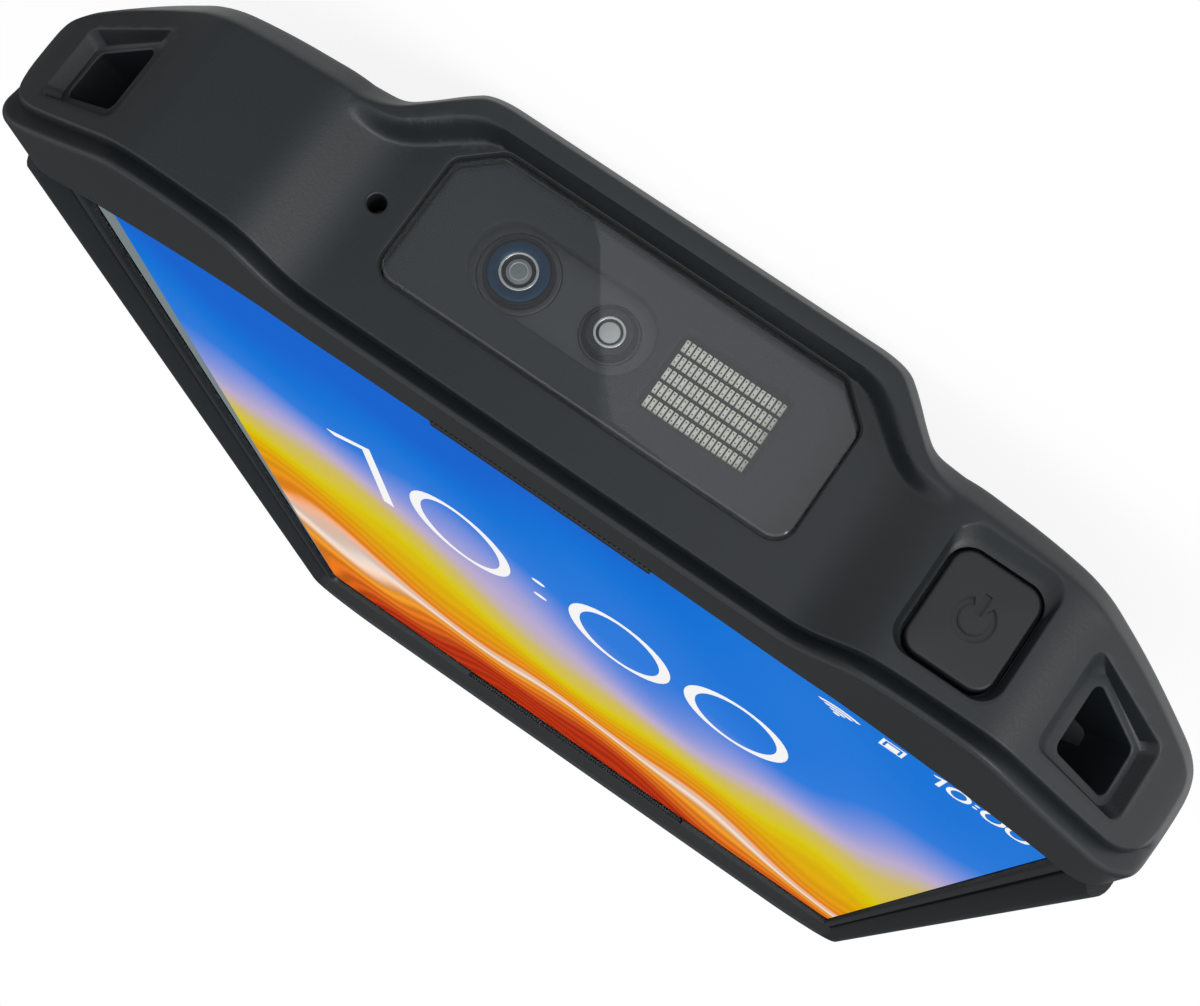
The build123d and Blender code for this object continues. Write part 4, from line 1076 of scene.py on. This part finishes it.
def frame_path(side, bottom, radius, recess):
    """A U from the seam down the left, round the bottom and up the right. The sides step in by recess along the
    grip, each step an ease over 6 mm."""
    y = np.linspace(SEAM_Y, bottom + radius, 160)
    x = -(side - recess * ease((GRIP_Y[1] - y) / GRIP_EASE) * ease((y - GRIP_Y[0]) / GRIP_EASE))
    turn = np.radians(np.linspace(180, 270, 26))[1:-1]
    corner = np.column_stack([radius * np.cos(turn) - side + radius, radius * np.sin(turn) + bottom + radius])
    base = np.column_stack([np.linspace(radius - side, 0, 40), np.full(40, bottom)])
    half = np.concatenate([np.column_stack([x, y]), corner, base])
    return np.concatenate([half, half[-2::-1] * (-1, 1)])


def frame_shell():
    """Each row (d, z) of the lip lies d outside the inner path; each row of the band lies d inside the outer
    one, which steps in along the grip for the rows below the glass. At the bottom end the band's round is
    nearly twice as large and its foot stands upright."""
    inner, outer = frame_path(VIEW_HALF, VIEW_BOTTOM, 0.8, 0.0), frame_path(FULL_HALF, BOTTOM_Y, 9.0, 0.0)
    grip = frame_path(FULL_HALF, BOTTOM_Y, 9.0, GRIP_STEP)
    normals = []
    for path in (inner, outer):
        along = np.gradient(path, axis=0)
        normals.append(np.column_stack([along[:, 1], -along[:, 0]]) / np.linalg.norm(along, axis=1)[:, None])
    end = ease(normals[1][:, 1] ** 2)
    rings = [np.column_stack([inner + normals[0] * d, np.full(len(inner), z)]) for d, z in LIP_ROWS]
    for d, z in BAND_ROWS:
        grow = 1 + 0.9 * end if z > 0 else 1 - end
        level = BAND_TOP - (BAND_TOP - z) * grow if z > 0 else np.full(len(outer), z)
        rings.append(np.column_stack([(outer if z > 0 else grip) - normals[1] * (d * grow)[:, None], level]))
    return capped(np.stack(rings) + (0, 0, GLASS_Z))


bezel = build("front_frame_moulding", *frame_shell(), finish["housing_plastic"], 50)
print("frame", len(bezel.data.polygons), "faces before its openings")

# %% [markdown]
# A slot in front lets the sound of the speaker out. The bottom end has a shallow bed for the cover of the
# port, the port itself and five round sound holes. Each side key has a pocket with a rounded mouth, and behind
# it a wider room for the flange that keeps the key from falling out. In the tool these are slides, which draw
# out sideways; here they are sleeves along the same directions.

# %% Openings of the frame
# side of the body, and the two ends of the key along Y
SIDE_KEYS = ((1, (5.15, 27.15)), (1, (-22.85, -10.85)), (-1, (5.15, 27.15)), (-1, (-26.85, -6.85)))


def through_end(corners, profile):
    """A sleeve seen from the bottom end: u is x, v is z, and heights count outwards from the end."""
    return sleeve(corners, profile, (0, BOTTOM_Y, 0), X, Z, -Y)


plugs = [sleeve(rectangle((-14.7, 14.7), (-69.66, -68.0), 0.3), [(0, 0.01), (0, 2)], (0, 0, GLASS_Z), X, Y, Z),
         through_end(rectangle((-8.15, 8.15), (3.5, 11.35), 0.4), flare(0.15, 1.8, 1.5)),
         through_end(rectangle((-4.8, 4.8), (6.75, 10.25), 1.7), [(0, -12), (0, 0)])]
for x in (-24.5, -22.0, -19.5, -17.0, -14.5):
    plugs.append(through_end(square(x, 8.5, 0.65, 0.64), flare(0.12, 12, 1)))
for side, (low, high) in SIDE_KEYS:
    pocket = rectangle((low - 0.15, high + 0.15), (7.75, 11.35), 1.78)
    room = rectangle((low - 0.85, high + 0.85), (7.25, 11.75), 0.3)
    for corners, profile in ((pocket, flare(0.15, 2.6, 2)), (room, [(0, -2.6), (0, -0.9)])):
        plugs.append(sleeve(corners, profile, (side * 36.0, 0, 0), Y, Z, side * X))
cut(bezel, plugs)
on_housing(bezel, "front_frame")
print("frame", len(bezel.data.polygons), "faces")

# %% [markdown]
# Over the display, the earpiece speaks through a narrow slot under the lip of the head. All that is seen of it
# is a black grille that follows the arc of the lip. A bar bent along the same arc gives it in one piece.

# %% Earpiece grille
GRILLE_HALF = 7.1
GRILLE_SECTION = [(0.0, 0.04), (0.0, 1.42), (0.05, 1.47), (0.85, 1.50), (0.90, 1.30), (1.4, 0.95), (1.4, 0.04)]


def grille_shell():
    """A bar that follows the lip's arc for |x| < 7.1: the corners of a section (d, z), d behind a line 0.1 mm
    ahead of the arc, at each of 40 places. Its upper edge stands a little over the lip."""
    x = np.linspace(-GRILLE_HALF, GRILLE_HALF, 40)
    front = FACE_Y + lip_arc(x) - 0.10
    return capped(np.stack([np.column_stack([x, front + d, np.full(len(x), GLASS_Z + z)])
                            for d, z in GRILLE_SECTION]))


on_housing(build("earpiece_grille", *grille_shell(), finish["mesh"]), "earpiece_mesh")
print("grille", 2 * GRILLE_HALF, "mm wide")

# %% [markdown]
# ## Behind the scan window
# The window is smoked acrylic with a narrow bevel, which catches a thin line of light all round. It is the
# outline of its pocket, a little smaller, carried up to the bevel and over it in three slopes.

# %% Window
WINDOW_BEVEL = [(0, -1.15), (0, -0.16), (-0.05, -0.08), (-0.14, -0.035), (-0.18, -0.03)]
window = build("scan_window_bevelled", *through_face(window_outline(-0.09), WINDOW_BEVEL), finish["window"], 20)
on_housing(window, "scan_window")
print("window", 2 * WINDOW_HALF, "mm wide")

# %% [markdown]
# A dark grey mask lies under the window and hides the engine. It has one long opening for the two lenses and
# one for the emitters, both with a small round at the edge. Its matt grey is what gives the window its tone,
# so it is lighter than the black of the casing.

# %% Mask behind the window
MASK_TOP = -1.18
LENS_OPENING, EMITTER_OPENING = ((-9.25, 1.4), (-8.8, -4.2)), ((2.15, 8.86), (-8.77, -4.02))
mask = build("optics_mask_moulded", *through_face(window_outline(-0.12), [(0, -1.9), (0, MASK_TOP)]),
             finish["black_mask"])
cut(mask, [sleeve(rectangle(*spans, radius), flare(edge, 2.5, 0.5), (0, FACE_Y + MASK_TOP, GLASS_Z), X, Z, Y)
           for spans, radius, edge in ((LENS_OPENING, 2.2, 0.15), (EMITTER_OPENING, 0.5, 0.10))])
on_housing(mask, "optics_baffle")
print("mask", len(mask.data.polygons), "faces")

# %% [markdown]
# Barrels and rings of a small lens are turned on a lathe, so each is a profile turned about its axis. The
# camera lens sits in a blued mount and the aiming lens in a grey one, and each has a bright ring, a dark well
# and a domed glass. A collar in the finish of the engine, 0.72 mm lower, fills the rest of each barrel's width.

# %% Turned parts
def turned(name, profile, centre, material, count=64):
    """A profile of rows (radius, y) turned about the line along Y through centre (x, z). Rows of radius 0
    close it."""
    profile = np.array(profile, float)
    angle = np.linspace(0, 2 * math.pi, count, endpoint=False)[:, None]
    x = centre[0] + profile[None, :, 0] * np.cos(angle)
    z = centre[1] + profile[None, :, 0] * np.sin(angle)
    y = np.broadcast_to(profile[None, :, 1], x.shape)
    faces = grid_faces(count, len(profile), True)
    return build(name, np.stack([x, y, z], axis=-1).reshape(-1, 3), faces, material)


def rounded(radii, low, high, edge):
    """Profile of a ring between two radii, with its two upper edges rounded, closed back to its start."""
    inner, outer = radii
    rows = quarter(edge, 0, 4)
    rise = [(inner + inset, high + up) for inset, up in rows]
    fall = [(outer - inset, high + up) for inset, up in reversed(rows)]
    return [(inner, low)] + rise + fall + [(outer, low), (inner, low)]


def dome(radius, low, high, rise):
    """Profile of a lens: flat back, straight side, and a front that rises by rise * (1 - (r/R)^2)."""
    front = [(radius * s, high + rise * (1 - s * s)) for s in np.linspace(1, 0, 8)]
    return [(0, low), (radius, low)] + front


blued = metal("steel_blued_mount", "#154468", 0.34, 0.2, 0.0006)
grey_mount = moulded("lens_mount_polycarbonate_grey", "#2b3035", 0.6, depth=0.0, level=0.2)
bright = metal("aluminium_ring_turned_bright", "#dfe6e8", 0.3, 0.2, 0.0006)
coated = moulded("lens_glass_coated_grey", "#8e979b", 0.25, depth=0.0, level=0.5)
pale = moulded("diffuser_polycarbonate_pale", "#dde6e4", 0.4, depth=0.0, level=0.4)
dark = finish["lens_barrel"]
engine_slot = slot_of["engine_chassis"]
LENS_Z = 6.6
# x of the axis, outer radius and bore of the barrel, radii of the ring, radius of the glass, mount, glass
lenses = {
    "imager": (-6.65, 1.84, 1.70, (0.89, 1.06), 0.67, blued, coated),
    "aimer": (-1.0, 1.42, 1.30, (0.70, 0.86), 0.55, grey_mount, pale),
}
for kind, (x, outer, bore, ring, glass, mount, front) in lenses.items():
    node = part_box(kind + "_barrel")
    back, face = node[0].y / MM, node[1].y / MM
    foot = face - 1.2
    whole = (node[1].x - node[0].x) / 2 / MM
    for name, profile, material, stands_for, slot in (
            ("_barrel_turned", rounded((bore, outer), back, face, 0.05), dark, kind + "_barrel", "lens_barrel"),
            ("_barrel_collar", rounded((outer + 0.02, whole), back, face - 0.72, 0.04), finish[engine_slot],
             None, engine_slot),
            ("_lens_mount", rounded((ring[1], bore - 0.03), foot, face - 0.12, 0.10), mount, kind + "_lens",
             "lens_barrel"),
            ("_lens_ring", rounded(ring, foot, face - 0.10, 0.05), bright, None, "lens_barrel"),
            ("_lens_well", rounded((glass, ring[0]), foot, face - 0.32, 0.04), dark, None, "lens_barrel"),
            ("_lens_glass", dome(glass, foot, face - 0.22, 0.1), front, None, "optics")):
        on_housing(turned(kind + name, profile, (x, LENS_Z), material), stands_for)
iris = rounded((0.44, 0.50), face - 0.3, face - 0.115, 0.02)
on_housing(turned("imager_lens_iris", iris, (lenses["imager"][0], LENS_Z), bright), None)
print("lenses", list(lenses))

# %% [markdown]
# The emitters are tiny packages of pale epoxy with two dies each, set by a machine on a black board in five
# rows of nineteen. They are one block of a few faces, repeated on a grid in one array. The real emitters are
# off; the smoked window takes a good part of the lamp light that falls on them, so they get a faint painted
# glow, painted light that stands in for what they lose.

# %% Emitters
ROWS, COLUMNS = 5, 19
EMITTER_X, EMITTER_Z = (2.45, 8.56), (GLASS_Z - 8.47, GLASS_Z - 4.32)
EMITTER_SIZE, DIE_SIZE, DIE_OFFSET = (0.235, 0.20, 0.66), (0.09, 0.03, 0.10), 0.18
EMITTER_PAINTED_GLOW = 0.16
BOARD_EDGE = 0.5


def block_grid(size, x, y, z):
    """Blocks of the given size with a narrower top, centred at every pair of the arrays x and z, on level y."""
    wide, tall, long = size
    corner = np.array([(-1, -1), (1, -1), (1, 1), (-1, 1)]) / 2
    low = np.column_stack([corner[:, 0] * wide, np.zeros(4), corner[:, 1] * long])
    high = np.column_stack([corner[:, 0] * (wide - 0.05), np.full(4, tall), corner[:, 1] * (long - 0.05)])
    one = np.concatenate([low, high])
    gx, gz = np.meshgrid(x, z)
    place = np.column_stack([gx.ravel(), np.full(gx.size, y), gz.ravel()])
    points = (place[:, None, :] + one[None]).reshape(-1, 3)
    quads = np.array([(0, 1, 2, 3), (4, 7, 6, 5), (0, 4, 5, 1), (1, 5, 6, 2), (2, 6, 7, 3), (3, 7, 4, 0)])
    faces = (np.arange(len(place))[:, None, None] * 8 + quads[None]).reshape(-1, 4)
    return points, faces


def centres(span, size, count):
    """The centres of blocks of a size, spaced evenly so that the outer ones touch the ends of the span."""
    return np.linspace(span[0] + size / 2, span[1] - size / 2, count)


# painted light: a faint glow on the emitters stands in for the lamp light that the smoked window takes from
# them
shader = finish["emitters"].node_tree.nodes["Principled BSDF"]
shader.inputs["Emission Color"].default_value = linear("#f6f7ea")
shader.inputs["Emission Strength"].default_value = EMITTER_PAINTED_GLOW
emitter_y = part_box("led_rows")[0].y / MM + 0.9
columns, rows = centres(EMITTER_X, EMITTER_SIZE[0], COLUMNS), centres(EMITTER_Z, EMITTER_SIZE[2], ROWS)
emitters = build("emitter_packages", *block_grid(EMITTER_SIZE, columns, emitter_y, rows), finish["emitters"])
on_housing(emitters, "led_rows")
die_rows = np.concatenate([rows - DIE_OFFSET, rows + DIE_OFFSET])
dies = block_grid(DIE_SIZE, columns, emitter_y + EMITTER_SIZE[1] - 0.01, die_rows)
on_housing(build("emitter_dies", *dies, finish["engine_metal"]), None)
board_spans = [(low - BOARD_EDGE, high + BOARD_EDGE) for low, high in (EMITTER_X, EMITTER_Z)]
board = sleeve(rectangle(*board_spans, 0.3), [(0, emitter_y - 1.2), (0, emitter_y)], (0, 0, 0), X, Z, Y)
on_housing(build("emitter_board_raised", *board, finish["emitter_board"]), "led_board")
print("emitters", ROWS * COLUMNS)

# %% [markdown]
# ## Power key
# The cap is a rounded square with a soft edge and a slightly domed top, pressed down into its dish. Its sign
# is moulded in, a hair deep, so it shows only as thin lines of shade. Rings that shrink towards the middle make
# the dome. Each of the sign's two strokes is cut twice, wide and shallow and then narrow and deeper, so the
# line has a step on both sides that takes the light like a round.

# %% Power key
POWER_CENTRE = np.array((POWER_X, GLASS_Z + POWER_Z))
POWER_TOP, POWER_DOME, POWER_EDGE = CREST_Y - 0.47, 0.10, 0.25


def power_cap():
    """Rings of the key's outline: a flange that closes the gap from below, up the side, round the edge by a
    quarter of 0.25 mm, then scaled to the middle while the height follows 0.10 * (1 - s^2)."""
    loop = outline(power_outline(0.0), 0.1) + (0, GLASS_Z)
    away = outward(loop)
    levels = [(-0.5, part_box("power_key")[0].y / MM), (-0.5, FACE_Y + 0.3), (0, FACE_Y + 0.35),
              (0, POWER_TOP - POWER_EDGE)]
    levels += [(inset, POWER_TOP + rise) for inset, rise in quarter(POWER_EDGE, 0.2, 6)]
    rings = [np.insert(loop - away * inset, 1, y, axis=1) for inset, y in levels]
    inner = loop - away * POWER_EDGE
    for s in np.linspace(1, 0, 14)[1:]:
        ring = POWER_CENTRE + (inner - POWER_CENTRE) * s
        rings.append(np.insert(ring, 1, POWER_TOP + POWER_DOME * (1 - s * s), axis=1))
    return capped(np.stack(rings, axis=1), last=False)


def upright(shape, level):
    """A stroke's (u, v, height) turned so that u is X, v is Z and its height runs along Y from level."""
    points, faces = shape
    return np.column_stack([points[:, 0], points[:, 2] + level, points[:, 1]]), faces


cap_plastic = moulded("power_key_polycarbonate_satin", "#15191b", 0.42, depth=0.002)
cap = build("power_key_cap", *power_cap(), cap_plastic, 40)
u, v = POWER_CENTRE
sign = []
for width, depth in ((0.46, 0.05), (0.34, 0.16)):
    for path in (arc((u, v), (0.93, 0.93), -62, 242, 60), [(u, v - 0.30), (u, v - 1.42)]):
        sign.append(upright(stroke(path, width, -depth, 0.3), POWER_TOP + POWER_DOME))
cut(cap, sign)
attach(cap, "power_key")
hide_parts("power_key")
print("power key", len(cap.data.polygons), "faces")
